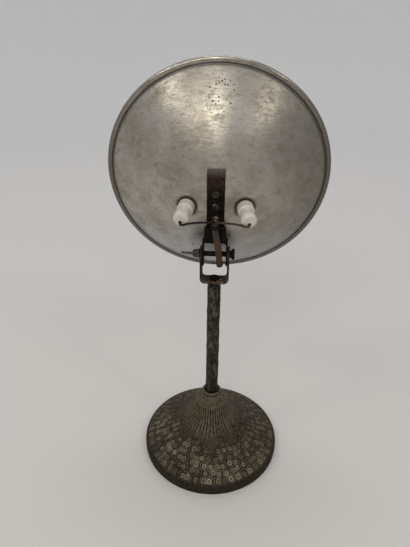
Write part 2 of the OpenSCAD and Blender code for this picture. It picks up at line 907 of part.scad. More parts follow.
// Spring clips: open rings that grip the sleeves, on a flat pad on each post
module spring_clips() {
  hold = sleeve_d / 2 + fit;
  color("#b08f4a")
    head()
      for (s = [-1, 1])
        translate([s * clip_x, bar_a, bar_u])
          across(clip_w)
            difference() {
              union() {
                circle(hold + clip_t);
                translate([-hold - clip_t, -4])
                  square([2, 8]);
              }
              circle(hold);
              polygon([[0, 0], [20, 20], [20, -20]]);
            }
}

module element_bar() {
  color("#e6dfce")
    head()
      translate([-bar_len / 2, bar_a, bar_u])
        rotate([0, 90, 0])
          cylinder(d = bar_d, h = bar_len);
}

module bar_sleeves() {
  color("#b5b0a4")
    head()
      translate([0, bar_a, bar_u])
        for (s = [0, 180])
          rotate([0, 0, s])
            translate([bar_len / 2, 0, 0])
              rotate([0, 90, 0]) {
                cylinder(d = flange_d, h = flange_t);
                cylinder(d = sleeve_d, h = sleeve_len);
              }
}

// One unbroken wire: straight out of one flange, round the bar, into the other
coil_run = bar_len - 2 * 2.6;
coil_pitch = coil_run / coil_turns;
coil_steps = 24;
coil_start = [[0, 0], [1.2, 0], [2, 2], [2.4, 8]];
coil_spin = concat(coil_start,
  [for (i = [1 : coil_turns * coil_steps - 1]) [2.6 + coil_run * i / (coil_turns * coil_steps),
    360 * i / coil_steps]],
  [for (i = [3 : -1 : 0]) [bar_len - coil_start[i][0],
    360 * coil_turns - coil_start[i][1]]]);
coil_path = [for (p = coil_spin) [p[0] - bar_len / 2, coil_r * cos(p[1] + 180),
  coil_r * sin(p[1] + 180)]];
function far_pairs(p, i, lag) = [for (j = [i + lag : min(i + lag + 16, len(p) - 1)])
  norm(p[i] - p[j])];
coil_least = min([for (i = [0 : len(coil_path) - 18]) min(far_pairs(coil_path, i, 16))])
  - coil_wire_d;
echo(least_gap_of_heating_coil = coil_least);

module heating_coil() {
  color("#6b625a")
    head()
      translate([0, bar_a, bar_u])
        tube(coil_path, coil_wire_d, 6, [for (p = coil_path) [0, p[1], p[2]]]);
}

module guard_ring() {
  color("#8d8a84")
    head()
      on_axis()
        rotate_extrude($fn = 128)
          translate([ring_r, ring_a])
            circle(d = guard_ring_wire_d, $fn = 24);
}

// Each rib is one arc over the dome, from the ring to the centre eye
module guard_ribs() {
  low = asin((ring_r + 0.5) / dome_r);
  high = asin((guard_eye_r - 2) / dome_r);
  color("#8d8a84")
    head()
      on_axis()
        translate([0, 0, dome_c])
          for (k = [0 : guard_rib_n - 1])
            rotate([0, 0, 360 * (k + 0.5) / guard_rib_n])
              rotate([90, 0, 0])
                rotate([0, 0, 90 - low])
                  rotate_extrude(angle = low - high, $fn = 128)
                    translate([dome_r, 0])
                      circle(d = guard_wire_d, $fn = 24);
}

// A hoop that lies under the ribs at the given radius
module hoop(r) {
  tilt = asin(r / dome_r);
  color("#8d8a84")
    head()
      on_axis()
        rotate_extrude($fn = 96)
          translate([hoop_off * sin(tilt), dome_c + hoop_off * cos(tilt)])
            circle(d = guard_wire_d, $fn = 24);
}

module guard_hoop() {
  hoop(guard_hoop_r);
}

module guard_eye() {
  hoop(guard_eye_r);
}

// Cord clip: a band round the end of the cord on a tab screwed to the strap
module cord_clip() {
  hold = cord_d / 2 + fit;
  top = clip_screw_u + cord_clip_screw_d / 2 + 2.5;
  color("#5b5148")
    head()
      difference() {
        union() {
          translate([-cord_clip_w / 2, strap_back - cord_clip_t, clip_low])
            cube([cord_clip_w, cord_clip_t, top - clip_low]);
          translate([0, cord_a, clip_low])
            cylinder(r = hold + cord_clip_t, h = 4.4);
          translate([-2, cord_a, clip_low])
            cube([4, strap_back - cord_a, 4.4]);
        }
        translate([0, cord_a, clip_low - 1])
          cylinder(r = hold, h = 20);
        translate([0, 1, clip_screw_u])
          rotate([90, 0, 0])
            cylinder(d = cord_clip_screw_d + 2 * fit, h = 12);
      }
}

module clip_screw() {
  under = strap_t + cord_clip_t;
  color("#9a948a")
    head()
      translate([0, 0, clip_screw_u])
        rotate([90, 0, 0])
          difference() {
            union() {
              translate([0, 0, -1])
                cylinder(d = cord_clip_screw_d, h = under + 1.5);
              translate([0, 0, under])
                cylinder(d = cord_clip_screw_d * 2, h = 1);
            }
            translate([-10, -0.4, under + 0.5])
              cube([20, 0.8, 2]);
          }
}

module lead(side) {
  head()
    let (path = [for (p = spline(lead_route, 2)) [side * p[0], p[1], p[2]]])
      tube(path, lead_d, 8, [for (p = path) [0, 0.1, 1]]);
}

module lead_left() {
  color("#1d1b1a")
    lead(-1);
}

module lead_right() {
  color("#6b3d26")
    lead(1);
}

module cord_stub() {
  color("#5a3a2c")
    head()
      tube([for (p = cord_route) p + [0, cord_a, 0]], cord_d, 12,
        [for (p = cord_route) [1, 0.1, 0]]);
}

foot();
foot_washer();
foot_nut();
stem();
yoke();
yoke_screw();
pivot_bolt();
head_spacer();
nut_washer();
wing_nut();
clevis();
clevis_rivets();
strap();
strap_screws();
strap_nuts();
backing_plate();
bowl();
rim_wire();
insulator_left();
insulator_right();
insulator_washers();
inner_bushes();
post_left();
post_right();
post_nuts();
spring_clips();
element_bar();
bar_sleeves();
heating_coil();
guard_ring();
guard_ribs();
guard_hoop();
guard_eye();
cord_clip();
clip_screw();
lead_left();
lead_right();
cord_stub();
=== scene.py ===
"""Electric bowl heater: what each part is made of, in the order that it is put together."""

import json
import math
import random

import bmesh
import bpy
from mathutils import Matrix, Vector, kdtree, noise

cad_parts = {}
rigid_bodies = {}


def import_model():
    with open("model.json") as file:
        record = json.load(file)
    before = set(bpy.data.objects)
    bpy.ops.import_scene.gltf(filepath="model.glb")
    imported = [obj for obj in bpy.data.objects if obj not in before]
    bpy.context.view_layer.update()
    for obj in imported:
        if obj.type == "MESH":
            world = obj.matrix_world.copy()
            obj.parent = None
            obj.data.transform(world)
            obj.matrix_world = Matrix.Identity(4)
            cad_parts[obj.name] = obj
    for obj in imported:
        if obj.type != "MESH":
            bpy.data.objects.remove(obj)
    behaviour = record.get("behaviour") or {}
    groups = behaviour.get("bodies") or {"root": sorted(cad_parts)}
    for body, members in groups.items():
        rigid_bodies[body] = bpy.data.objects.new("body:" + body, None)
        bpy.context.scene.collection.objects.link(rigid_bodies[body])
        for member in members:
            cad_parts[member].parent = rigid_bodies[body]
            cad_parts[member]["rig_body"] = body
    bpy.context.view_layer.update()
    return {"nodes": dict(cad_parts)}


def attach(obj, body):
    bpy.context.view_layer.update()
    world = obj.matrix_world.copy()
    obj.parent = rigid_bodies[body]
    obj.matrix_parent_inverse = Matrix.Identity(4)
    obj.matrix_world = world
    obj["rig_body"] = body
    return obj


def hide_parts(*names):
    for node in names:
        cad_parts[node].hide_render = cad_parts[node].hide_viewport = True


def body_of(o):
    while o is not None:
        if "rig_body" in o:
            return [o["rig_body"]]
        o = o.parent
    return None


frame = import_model()


# ---- Camera -------------------------------------------------------------------------------
# The heater is seen from behind and above, from about half a metre away.
# The lens is wide, so the bowl looks large beside the foot.

CAMERA_AT = Vector((0.01248, -0.44887, 0.50202))
CAMERA_DOWN = math.radians(28.095)
CAMERA_ROLL = math.radians(0.7506)
CAMERA_TURN = math.radians(-2.959)
CAMERA_LENS = 29.374

sight = Vector((
    math.sin(CAMERA_TURN) * math.cos(CAMERA_DOWN),
    math.cos(CAMERA_TURN) * math.cos(CAMERA_DOWN),
    -math.sin(CAMERA_DOWN),
))
level = Vector((math.cos(CAMERA_TURN), -math.sin(CAMERA_TURN), 0.0))
upright = level.cross(sight)
across = level * math.cos(CAMERA_ROLL) + upright * math.sin(CAMERA_ROLL)
above = upright * math.cos(CAMERA_ROLL) - level * math.sin(CAMERA_ROLL)
stand_point = Matrix((across, above, -sight)).transposed().to_4x4()
stand_point.translation = CAMERA_AT

camera_data = bpy.data.cameras.new("camera")
camera_data.lens = CAMERA_LENS
camera_data.sensor_width = 36.0
camera_data.sensor_fit = "AUTO"
camera_data.clip_start = 0.01
camera = bpy.data.objects.new("camera", camera_data)
camera.matrix_world = stand_point
bpy.context.scene.collection.objects.link(camera)
bpy.context.scene.camera = camera


# ---- Cord stub ----------------------------------------------------------------------------
# The end of the supply cord, a perished brown rubber jacket with its upper end in a dark
# wrapping. It hangs behind the clevis, stiff with age, and was cut off slanting.

TILT = math.radians(9.7)
PIVOT_Z = 0.2875
STAND = Matrix.Scale(0.001, 4)
HEAD = (
    Matrix.Translation((0.0, 0.0, PIVOT_Z))
    @ Matrix.Rotation(TILT, 4, "X")
    @ Matrix.Scale(0.001, 4)
)
CORD_BACK = -8.7
CORD_ROUTE = [
    (0.0, 0.0, 43.5), (0.0, 0.0, 37.5), (1.2, 0.0, 28.0), (3.0, -0.5, 18.0),
    (4.3, -1.0, 8.0), (5.2, -1.0, -1.0), (5.8, -0.5, -9.5),
]
CORD_WIDTH = 7.2
CORD_SIDES = 28
CORD_SLANT = 1.6
WRAP_LENGTH = 17.5


def smooth_run(points, steps):
    """A smooth run of points through the given ones."""
    run = []
    for k in range(len(points) - 1):
        before = Vector(points[max(k - 1, 0)])
        start = Vector(points[k])
        end = Vector(points[k + 1])
        after = Vector(points[min(k + 2, len(points) - 1)])
        for j in range(steps):
            t = j / steps
            run.append(0.5 * (
                2 * start + (end - before) * t
                + (2 * before - 5 * start + 4 * end - after) * t * t
                + (3 * start - before - 3 * end + after) * t ** 3
            ))
    run.append(Vector(points[-1]))
    return run


def draw_tube(bm, run, radius_at, sides, up, end_slant=0.0):
    """Rings of a tube along a run, each extruded from the last."""
    length = 0.0
    ring = None
    rings = []
    for k, point in enumerate(run):
        if k:
            length += (point - run[k - 1]).length
        ahead = (run[min(k + 1, len(run) - 1)] - run[max(k - 1, 0)]).normalized()
        side = up(k).cross(ahead).normalized()
        turn = Matrix((side, ahead.cross(side), ahead)).transposed().to_4x4()
        turn.translation = point
        if ring is None:
            ring = bmesh.ops.create_circle(bm, radius=1.0, segments=sides)["verts"]
        else:
            edges = {e for v in ring for e in v.link_edges if e.other_vert(v) in ring}
            grown = bmesh.ops.extrude_edge_only(bm, edges=list(edges))["geom"]
            fresh = [g for g in grown if isinstance(g, bmesh.types.BMVert)]
            order = {}
            for v in fresh:
                for e in v.link_edges:
                    if e.other_vert(v) in ring:
                        order[e.other_vert(v)] = v
            ring = [order[v] for v in ring]
        for j, v in enumerate(ring):
            angle = math.tau * j / sides
            radius = radius_at(length, angle)
            lean = end_slant * math.cos(angle) if k == len(run) - 1 else 0.0
            v.co = turn @ Vector((radius * math.cos(angle), radius * math.sin(angle), lean))
        rings.append(ring)
    return rings


def cap_ring(bm, ring, depth, inset):
    """Close an open ring with a cap that is set in by a little."""
    face = bmesh.ops.contextual_create(bm, geom=ring)["faces"][0]
    bmesh.ops.inset_region(bm, faces=[face], thickness=inset, depth=depth)


def make_piece(name, bm, place, body, finish, stands_for, shade=50.0):
    """Turn a bmesh in millimetres into a piece of the object."""
    bmesh.ops.transform(bm, matrix=place, verts=bm.verts)
    bmesh.ops.recalc_face_normals(bm, faces=bm.faces)
    for face in bm.faces:
        face.smooth = True
    for edge in bm.edges:
        if len(edge.link_faces) == 2:
            edge.smooth = edge.calc_face_angle(0.0) < math.radians(shade)
    mesh = bpy.data.meshes.new(name)
    bm.to_mesh(mesh)
    bm.free()
    piece = bpy.data.objects.new(name, mesh)
    bpy.context.scene.collection.objects.link(piece)
    mesh.materials.append(finish.material)
    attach(piece, body)
    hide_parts(*stands_for)
    return piece


class Finish:
    """A surface finish: a material, its shader, and textures sized in millimetres."""

    def __init__(self, name, colour, roughness, metallic=0.0, sheen=0.5):
        self.material = bpy.data.materials.new(name)
        self.material.use_nodes = True
        self.tree = self.material.node_tree
        self.shader = self.tree.nodes["Principled BSDF"]
        self.shader.inputs["Base Color"].default_value = (*colour, 1.0)
        self.shader.inputs["Roughness"].default_value = roughness
        self.shader.inputs["Metallic"].default_value = metallic
        self.shader.inputs["Specular IOR Level"].default_value = sheen
        self.where = self.tree.nodes.new("ShaderNodeTexCoord").outputs["Object"]

    def node(self, kind, links=None, values=None, **settings):
        fresh = self.tree.nodes.new(kind)
        for name, value in settings.items():
            setattr(fresh, name, value)
        for name, value in (values or {}).items():
            fresh.inputs[name].default_value = value
        for name, socket in (links or {}).items():
            self.tree.links.new(socket, fresh.inputs[name])
        return fresh

    def placed(self, stretch=(1.0, 1.0, 1.0), turn=(0.0, 0.0, 0.0), move=(0.0, 0.0, 0.0)):
        values = {"Scale": stretch, "Rotation": turn, "Location": move}
        return self.node("ShaderNodeMapping", {"Vector": self.where}, values).outputs["Vector"]

    def grain(self, size, detail=3.0, rough=0.55, warp=0.0, at=None):
        values = {"Scale": 1000.0 / size, "Detail": detail, "Roughness": rough, "Distortion": warp}
        links = {"Vector": at or self.where}
        return self.node("ShaderNodeTexNoise", links, values).outputs["Fac"]

    def cells(self, size, at=None):
        links = {"Vector": at or self.where}
        return self.node("ShaderNodeTexVoronoi", links, {"Scale": 1000.0 / size}).outputs

    def parts(self, place=None):
        return self.node("ShaderNodeSeparateXYZ", {"Vector": place or self.where}).outputs

    def vector(self, how, one, two=(0.0, 0.0, 0.0)):
        node = self.node("ShaderNodeVectorMath", {0: one}, {1: two}, operation=how)
        return node.outputs["Value" if how == "LENGTH" else "Vector"]

    def limits(self, value, low, high, to_low=0.0, to_high=1.0):
        values = {"From Min": low, "From Max": high, "To Min": to_low, "To Max": to_high}
        node = self.node("ShaderNodeMapRange", {"Value": value}, values, clamp=True)
        return node.outputs["Result"]

    def both(self, one, two, how="MULTIPLY"):
        node = self.node("ShaderNodeMath", operation=how)
        for socket, value in zip(node.inputs, (one, two)):
            if isinstance(value, (int, float)):
                socket.default_value = value
            else:
                self.tree.links.new(value, socket)
        return node.outputs["Value"]

    def over(self, amount, under, top):
        node = self.node("ShaderNodeMix", data_type="RGBA")
        for name, value in (("Factor", amount), ("A", under), ("B", top)):
            socket = [s for s in node.inputs if s.name == name and s.enabled][0]
            if isinstance(value, tuple):
                socket.default_value = (*value, 1.0)
            elif isinstance(value, (int, float)):
                socket.default_value = value
            else:
                self.tree.links.new(value, socket)
        return [s for s in node.outputs if s.enabled][0]

    def attribute(self, name):
        return self.node("ShaderNodeAttribute", attribute_name=name).outputs["Fac"]

    def colour(self, socket):
        self.tree.links.new(socket, self.shader.inputs["Base Color"])

    def coat(self, amount, top):
        """Lay one more colour over those that the surface has."""
        under = self.shader.inputs["Base Color"].links[0].from_socket
        self.colour(self.over(amount, under, top))

    def set(self, name, value):
        if isinstance(value, (int, float, tuple)):
            self.shader.inputs[name].default_value = value
        else:
            self.tree.links.new(value, self.shader.inputs[name])

    def relief(self, height, depth):
        bump = self.node("ShaderNodeBump", {"Height": height}, {"Distance": depth / 1000.0})
        already = self.shader.inputs["Normal"].links
        if already:
            self.tree.links.new(already[0].from_socket, bump.inputs["Normal"])
        self.tree.links.new(bump.outputs["Normal"], self.shader.inputs["Normal"])


def cord_radius(along, angle):
    """Dark wrapping in close turns above, the thicker jacket below, both a little uneven."""
    ripple = 0.07 * noise.noise(Vector((math.cos(angle), math.sin(angle), along * 0.35)))
    if along < WRAP_LENGTH:
        turn = (along / 1.5 + angle / math.tau) % 1.0
        return 3.2 + 0.22 * math.sin(math.pi * turn) + ripple
    past = min((along - WRAP_LENGTH) / 1.2, 1.0)
    return 3.25 + (CORD_WIDTH / 2 - 3.3) * past ** 0.5 + 1.6 * ripple


cord_run = smooth_run([(x, a + CORD_BACK, u) for x, a, u in CORD_ROUTE], 24)
bm = bmesh.new()
cord_rings = draw_tube(
    bm, cord_run, cord_radius, CORD_SIDES, lambda k: Vector((1.0, 0.1, 0.0)), CORD_SLANT,
)
cap_ring(bm, cord_rings[0], 0.0, 1.0)
cap_ring(bm, cord_rings[-1], -0.8, 1.3)

rubber = Finish("perished_cord", (0.10, 0.045, 0.028), 0.75, sheen=0.15)
cord_age = rubber.grain(7.0, 4.0)
cord_speck = rubber.grain(1.2, 3.0)
jacket = rubber.over(
    rubber.limits(cord_age, 0.3, 0.7), (0.040, 0.022, 0.014), (0.118, 0.066, 0.043),
)
jacket = rubber.over(rubber.limits(cord_speck, 0.52, 0.70), jacket, (0.045, 0.026, 0.018))
wrapping = rubber.over(cord_speck, (0.012, 0.012, 0.012), (0.095, 0.090, 0.083))
cord_height = rubber.parts()["Z"]
jacket_end = (HEAD @ Vector((0.0, CORD_BACK, CORD_ROUTE[0][2] - WRAP_LENGTH))).z
cord_part = rubber.limits(cord_height, jacket_end - 0.0012, jacket_end)
rubber.colour(rubber.over(cord_part, jacket, wrapping))
rubber.relief(cord_speck, 0.25)
rubber.relief(cord_age, 0.4)

cord_stub = make_piece(
    "cord_stub_piece", bm, HEAD, "head", rubber, ["cord_stub"],
)


# ---- Floor and light ----------------------------------------------------------------------
# A plain pale floor that rises in one sweep at its edge, under an even sky and five lamps.
# Four hang high behind the camera: three leave a soft bright patch each on the bowl and one
# a wide glow. The fifth, above and beyond the bowl, catches the top of its rim.


def draw_profile(bm, profile, closed=False):
    """The points and lines of a profile of radii and heights."""
    points = [bm.verts.new((r, 0.0, z)) for r, z in profile]
    ends = points[1:] + points[:1] if closed else points[1:]
    return points + [bm.edges.new(pair) for pair in zip(points, ends)]


def spin_round(bm, geom, steps):
    """Spin points and lines once round the upright axis."""
    bmesh.ops.spin(
        bm, geom=geom, cent=(0.0, 0.0, 0.0), axis=(0.0, 0.0, 1.0),
        angle=math.tau, steps=steps, use_merge=True,
    )


def spin_profile(bm, profile, steps, closed=False):
    """Spin a profile of radii and heights into a solid of revolution."""
    spin_round(bm, draw_profile(bm, profile, closed), steps)
    bmesh.ops.remove_doubles(bm, verts=bm.verts, dist=1e-4)


FLOOR_FLAT = 2.4
FLOOR_BEND = 0.9
bm = bmesh.new()
sweep = [(0.0, 0.0), (0.6, 0.0), (FLOOR_FLAT, 0.0)]
sweep += [
    (FLOOR_FLAT + FLOOR_BEND * math.sin(t), FLOOR_BEND - FLOOR_BEND * math.cos(t))
    for t in (0.3, 0.6, 0.9, 1.2, 1.5)
]
sweep += [(3.35, 1.6), (3.35, 2.2)]
spin_profile(bm, sweep, 96)
floor_mesh = bpy.data.meshes.new("floor")
bm.to_mesh(floor_mesh)
bm.free()
floor_mesh.shade_smooth()
floor = bpy.data.objects.new("floor", floor_mesh)
bpy.context.scene.collection.objects.link(floor)
floor_finish = Finish("pale_floor", (0.70, 0.685, 0.67), 0.95)
# The floor is painted darker near the heater and paler far off: a painted shadow round it.
floor_far = floor_finish.limits(floor_finish.vector("LENGTH", floor_finish.where), 0.3, 2.6)
floor_finish.colour(floor_finish.over(floor_far, (0.645, 0.615, 0.585), (0.80, 0.785, 0.775)))
floor_mesh.materials.append(floor_finish.material)

sky = bpy.data.worlds.new("sky")
sky.use_nodes = True
sky_light = sky.node_tree.nodes["Background"]
sky_light.inputs["Color"].default_value = (0.93, 0.96, 1.0, 1.0)
sky_light.inputs["Strength"].default_value = 0.63
bpy.context.scene.world = sky


BOWL_MIDDLE = Vector((0.0, 0.0, 0.35))


def hang_lamp(name, at, size, power, colour=(1.0, 0.94, 0.83)):
    """An oblong lamp that looks at the bowl."""
    lamp_data = bpy.data.lights.new(name, "AREA")
    lamp_data.shape = "RECTANGLE"
    lamp_data.size = size[0]
    lamp_data.size_y = size[1]
    lamp_data.energy = power
    lamp_data.color = colour
    lamp = bpy.data.objects.new(name, lamp_data)
    lamp.location = at
    lamp.rotation_euler = (BOWL_MIDDLE - Vector(at)).to_track_quat("-Z", "Y").to_euler()
    bpy.context.scene.collection.objects.link(lamp)


hang_lamp("left_lamp", (-1.24, -0.66, 1.79), (0.3, 0.3), 2.9)
hang_lamp("right_lamp", (1.22, -0.98, 1.62), (0.2, 0.2), 2.7)
hang_lamp("tall_lamp", (-0.20, -1.40, 1.86), (0.42, 0.8), 3.7)
hang_lamp("wide_lamp", (-0.50, -1.65, 1.70), (1.3, 0.6), 5.5)
hang_lamp("top_lamp", (0.0, 0.75, 2.30), (1.3, 0.5), 7.5, (0.93, 0.97, 1.0))


# ---- Foot ---------------------------------------------------------------------------------
# A round iron casting, hollow below, with a hammered slope, fluted neck and reeded edge.
# Blackened, with brown wear and painted highlight on high spots, dirt and painted shade in
# hollows.

FOOT_EDGE = 89.98
FOOT_SLOPE = [Vector(p) for p in ((20.5, 74.5), (20.8, 47.68), (37.8, 32.035), (85.0, 13.5))]
MARKS_OUT = 82.4
MARKS_IN = 38.0
FLUTES = 44
FOOT_STEPS = FLUTES * 8
FOOT_WALL = 5.0


def slope_point(t, off=0.0):
    """A point of the foot's slope, t from the neck to the shoulder, off its surface."""
    p0, p1, p2, p3 = FOOT_SLOPE
    at = (1 - t) ** 3 * p0 + 3 * t * (1 - t) ** 2 * p1 + 3 * t * t * (1 - t) * p2 + t ** 3 * p3
    way = (1 - t) ** 2 * (p1 - p0) + 2 * t * (1 - t) * (p2 - p1) + t * t * (p3 - p2)
    way.normalize()
    return at + off * Vector((-way.y, way.x))


def clamped(value):
    """A value held between nought and one."""
    return max(0.0, min(1.0, value))


def round_noise(angle, reach, seed):
    """Soft noise that closes on itself round a circle."""
    return noise.noise(Vector((reach * math.cos(angle), reach * math.sin(angle), seed)))


slope_steps = 96
foot_profile = [(85.0, 0.0), (87.5, 0.0), (89.6, 0.0), (FOOT_EDGE, 0.4)]
foot_profile += [(FOOT_EDGE, z) for z in (2.0, 4.0, 6.0, 7.6, 8.5)]
foot_profile += [
    (85.0 + 5.0 * math.cos(t), 8.5 + 5.0 * math.sin(t))
    for t in (0.26, 0.52, 0.79, 1.05, 1.31)
]
foot_profile += [tuple(slope_point(k / slope_steps)) for k in range(slope_steps, -1, -1)]
foot_profile += [
    (21.25, 74.7), (21.45, 75.2), (21.3, 76.0), (19.2, 78.6), (16.4, 82.1), (13.6, 85.5),
    (12.4, 86.5), (12.15, 87.1), (12.4, 87.8), (12.5, 88.7), (12.2, 89.7), (11.5, 90.3),
    (10.6, 90.5), (9.6, 90.3), (9.0, 89.7), (9.0, 84.5), (5.05, 84.5), (5.05, 52.07),
]
foot_profile += [tuple(slope_point(0.28 + 0.72 * k / 24, -FOOT_WALL)) for k in range(24)]
foot_profile += [(84.6, 8.0), (85.0, 5.5)]

bm = bmesh.new()
spin_profile(bm, foot_profile, FOOT_STEPS, closed=True)
bmesh.ops.recalc_face_normals(bm, faces=bm.faces)
bm.normal_update()

# Hammer marks in rough rings round the slope, larger towards the edge.
chance = random.Random(7)
marks = []
ring_radius = MARKS_OUT
while ring_radius > MARKS_IN:
    size = 3.0 + 0.7 * (ring_radius - MARKS_IN) / 42.5
    count = round(math.tau * ring_radius / (2.5 * size))
    start = chance.random()
    for k in range(count):
        angle = math.tau * (k + start + chance.uniform(-0.2, 0.2)) / count
        spread = ring_radius + chance.uniform(-1.3, 1.3) * min(1.0, (83.0 - ring_radius) / 3.0)
        marks.append((spread, angle, size * chance.uniform(0.84, 1.08), chance.uniform(0.2, 1.0)))
    ring_radius -= 2.2 * size
mark_tree = kdtree.KDTree(len(marks))
for k, (radius, angle, size, depth) in enumerate(marks):
    mark_tree.insert((radius * math.cos(angle), radius * math.sin(angle), 0.0), k)
mark_tree.balance()

dirt_and_shade = bm.verts.layers.float.new("dirt_and_shade")
rub = bm.verts.layers.float.new("rub")
crest = bm.verts.layers.float.new("crest")
from_mark = bm.verts.layers.float_vector.new("from_mark")
moves = []
# Darkening underneath, in the reeds' grooves and in the flutes' valleys is dirt with painted
# shade.
for v in bm.verts:
    radius = v.co.xy.length
    angle = math.atan2(v.co.y, v.co.x)
    outer = (
        v.normal.z > 0.12 or (radius > 89.0 and v.co.z > 0.3)
        or (radius > 20.3 and v.co.z > 55.0)
    )
    if not outer or radius < 9.5 or v.co.z > 74.9:
        if outer and radius > 9.5:
            collar = 0.85 if v.co.z > 87.4 else 0.0
            v[crest] = max(0.62, 1.0 - max(0.0, v.co.z - 75.3) / 1.5, collar)
        else:
            v[dirt_and_shade] = 0.4
        continue
    rise = 0.0
    if radius > 86.0 and v.co.z < 14.0:
        step = round(angle / math.tau * FOOT_STEPS)
        edge = min(1.0, (radius - 86.0) / 2.0)
        rise = -0.5 * edge if step % 2 else 0.0
        v[dirt_and_shade] = (1.0 if step % 2 else 0.3) * edge
    else:
        ridge = 1.0 - (1.0 - abs(math.sin(FLUTES / 2 * angle))) ** 2.4
        ends = clamped((74.8 - v.co.z) / 0.5)
        until = 39.0 + 7.0 * round_noise(angle, 5.0, 4.0)
        fade = ends * clamped((until - radius) / 11.0)
        rise += 0.9 * ridge * fade
        v[dirt_and_shade] = (1.0 - ridge) ** 0.5 * fade
        v[crest] = ridge * fade
        place, which, away = mark_tree.find((v.co.x, v.co.y, 0.0))
        size, depth = marks[which][2:]
        near = away / size
        begin = 44.0 + 14.0 * round_noise(angle, 2.0, 1.3)
        blend_in = clamped((radius - begin) / 12.0) * clamped((87.0 - radius) / 1.5)
        if near < 1.0:
            rise -= 0.6 * depth * (1.0 - near ** 3) * blend_in
        # The marks are lighter towards the front left: painted highlight over their wear.
        painted_highlight_side = 0.45 + 0.55 * max(0.0, math.cos(marks[which][1] + math.radians(108.0))) ** 0.8
        v[rub] = depth * blend_in * painted_highlight_side
        v[from_mark] = ((v.co.x - place.x) / size, (v.co.y - place.y) / size, 0.0)
    moves.append((v, v.normal * rise))
for v, move in moves:
    v.co += move

cast = Finish("hammered_iron", (0.05, 0.04, 0.03), 0.55, sheen=0.08)
foot_patch = cast.grain(26.0, 4.0)
foot_cast = cast.grain(1.6, 4.0)
foot_parts = cast.parts()
foot_turn = cast.both(foot_parts["Y"], foot_parts["X"], "ARCTAN2")
foot_polar = cast.node("ShaderNodeCombineXYZ", {
    "X": cast.both(foot_turn, 0.05), "Y": cast.both(foot_parts["Z"], 0.8),
}).outputs["Vector"]
foot_streak = cast.grain(1.7, 3.0, warp=0.4, at=foot_polar)
mark_place = cast.node("ShaderNodeAttribute", attribute_name="from_mark").outputs["Vector"]
mark_off = cast.vector("LENGTH", mark_place)
mark_ring = cast.both(
    cast.limits(mark_off, 0.22, 0.5, 0.1, 1.0), cast.limits(mark_off, 0.74, 0.92, 1.0, 0.0),
)
mark_wear_and_highlight = cast.both(
    cast.attribute("rub"), cast.limits(foot_patch, 0.34, 0.58, 0.35, 1.0),
)
mark_edge = cast.both(
    cast.both(
        cast.limits(mark_off, 0.84, 1.0), cast.limits(mark_off, 1.2, 1.5, 1.0, 0.2),
    ),
    cast.limits(cast.attribute("rub"), 0.0, 0.05),
)
cast.colour(cast.over(
    cast.limits(foot_patch, 0.3, 0.7), (0.020, 0.0155, 0.0095), (0.056, 0.0425, 0.026),
))
cast.coat(cast.limits(foot_cast, 0.42, 0.66, 0.0, 0.85), (0.100, 0.079, 0.052))
cast.coat(cast.limits(foot_streak, 0.5, 0.66, 0.0, 0.8), (0.010, 0.0075, 0.0055))
# The flute crests, the cone's lower edge and the collar are lighter: wear with painted highlight.
crest_wear_and_highlight = cast.both(
    cast.attribute("crest"),
    cast.limits(cast.grain(3.2, 5.0, warp=0.6), 0.36, 0.62, 0.1, 1.0),
)
cast.coat(crest_wear_and_highlight, (0.170, 0.138, 0.092))
cast.coat(cast.both(mark_edge, 0.75), (0.011, 0.008, 0.006))
# Light rings round the marks: wear with painted highlight.
cast.coat(cast.both(mark_ring, mark_wear_and_highlight), (0.27, 0.225, 0.16))
# Dirt with painted shade in the hollows.
cast.coat(cast.both(cast.attribute("dirt_and_shade"), 0.88), (0.007, 0.0055, 0.004))
cast.set("Roughness", cast.limits(foot_patch, 0.3, 0.7, 0.48, 0.66))
cast.relief(foot_cast, 0.25)
cast.relief(foot_streak, 0.3)
cast.relief(mark_edge, 0.3)
cast.relief(crest_wear_and_highlight, 0.2)
make_piece("foot_casting", bm, STAND, "stand", cast, ["foot"], 70.0)


# ---- Stem ---------------------------------------------------------------------------------
# A round iron bar, hammered all over so that its outline is a little uneven.
# It stands in the foot's socket, and its threaded spigot goes through to the nut below.

STEM_SIDES = 56
STEM_RADIUS = 8.2
STEM_TOP = 253.5
STEM_BLOWS = 400
bm = bmesh.new()
stem_profile = [
    (0.0, 40.5), (4.4, 40.5), (5.0, 41.2), (5.0, 60.0), (5.0, 84.5), (7.6, 84.5),
    (STEM_RADIUS, 85.1),
]
stem_profile += [(STEM_RADIUS, 85.5 + k) for k in range(167)]
stem_profile += [(STEM_RADIUS, 252.9), (7.7, STEM_TOP), (0.0, STEM_TOP)]
spin_profile(bm, stem_profile, STEM_SIDES)
dirt_and_shade = bm.verts.layers.float.new("dirt_and_shade")
rub = bm.verts.layers.float.new("rub")
# The hammer blows are twice as long as they are wide.
blows = kdtree.KDTree(STEM_BLOWS)
for k in range(STEM_BLOWS):
    height = chance.uniform(82.0, 256.0)
    angle = chance.uniform(0.0, math.tau)
    blows.insert((STEM_RADIUS * math.cos(angle), STEM_RADIUS * math.sin(angle), height * 0.5), k)
blows.balance()
for v in bm.verts:
    if v.co.xy.length < 8.0 or v.co.z < 85.0:
        continue
    spot = Vector((v.co.x, v.co.y, v.co.z * 0.5))
    near = [away for place, which, away in blows.find_n(spot, 2)]
    hollow = max(0.0, 1.0 - near[0] / 3.0)
    ridge = max(0.0, 1.0 - (near[1] - near[0]) / 0.8)
    end = min(1.0, (v.co.z - 85.0) / 3.0, (253.4 - v.co.z) / 1.5)
    swell = 0.18 + 0.3 * noise.noise(Vector((v.co.x * 0.05, v.co.y * 0.05, v.co.z * 0.07)))
    v.co.xy *= 1.0 - (0.65 * hollow + max(0.0, swell)) * max(0.0, end) / STEM_RADIUS
    v[dirt_and_shade] = hollow
    v[rub] = ridge * (1.0 - hollow)

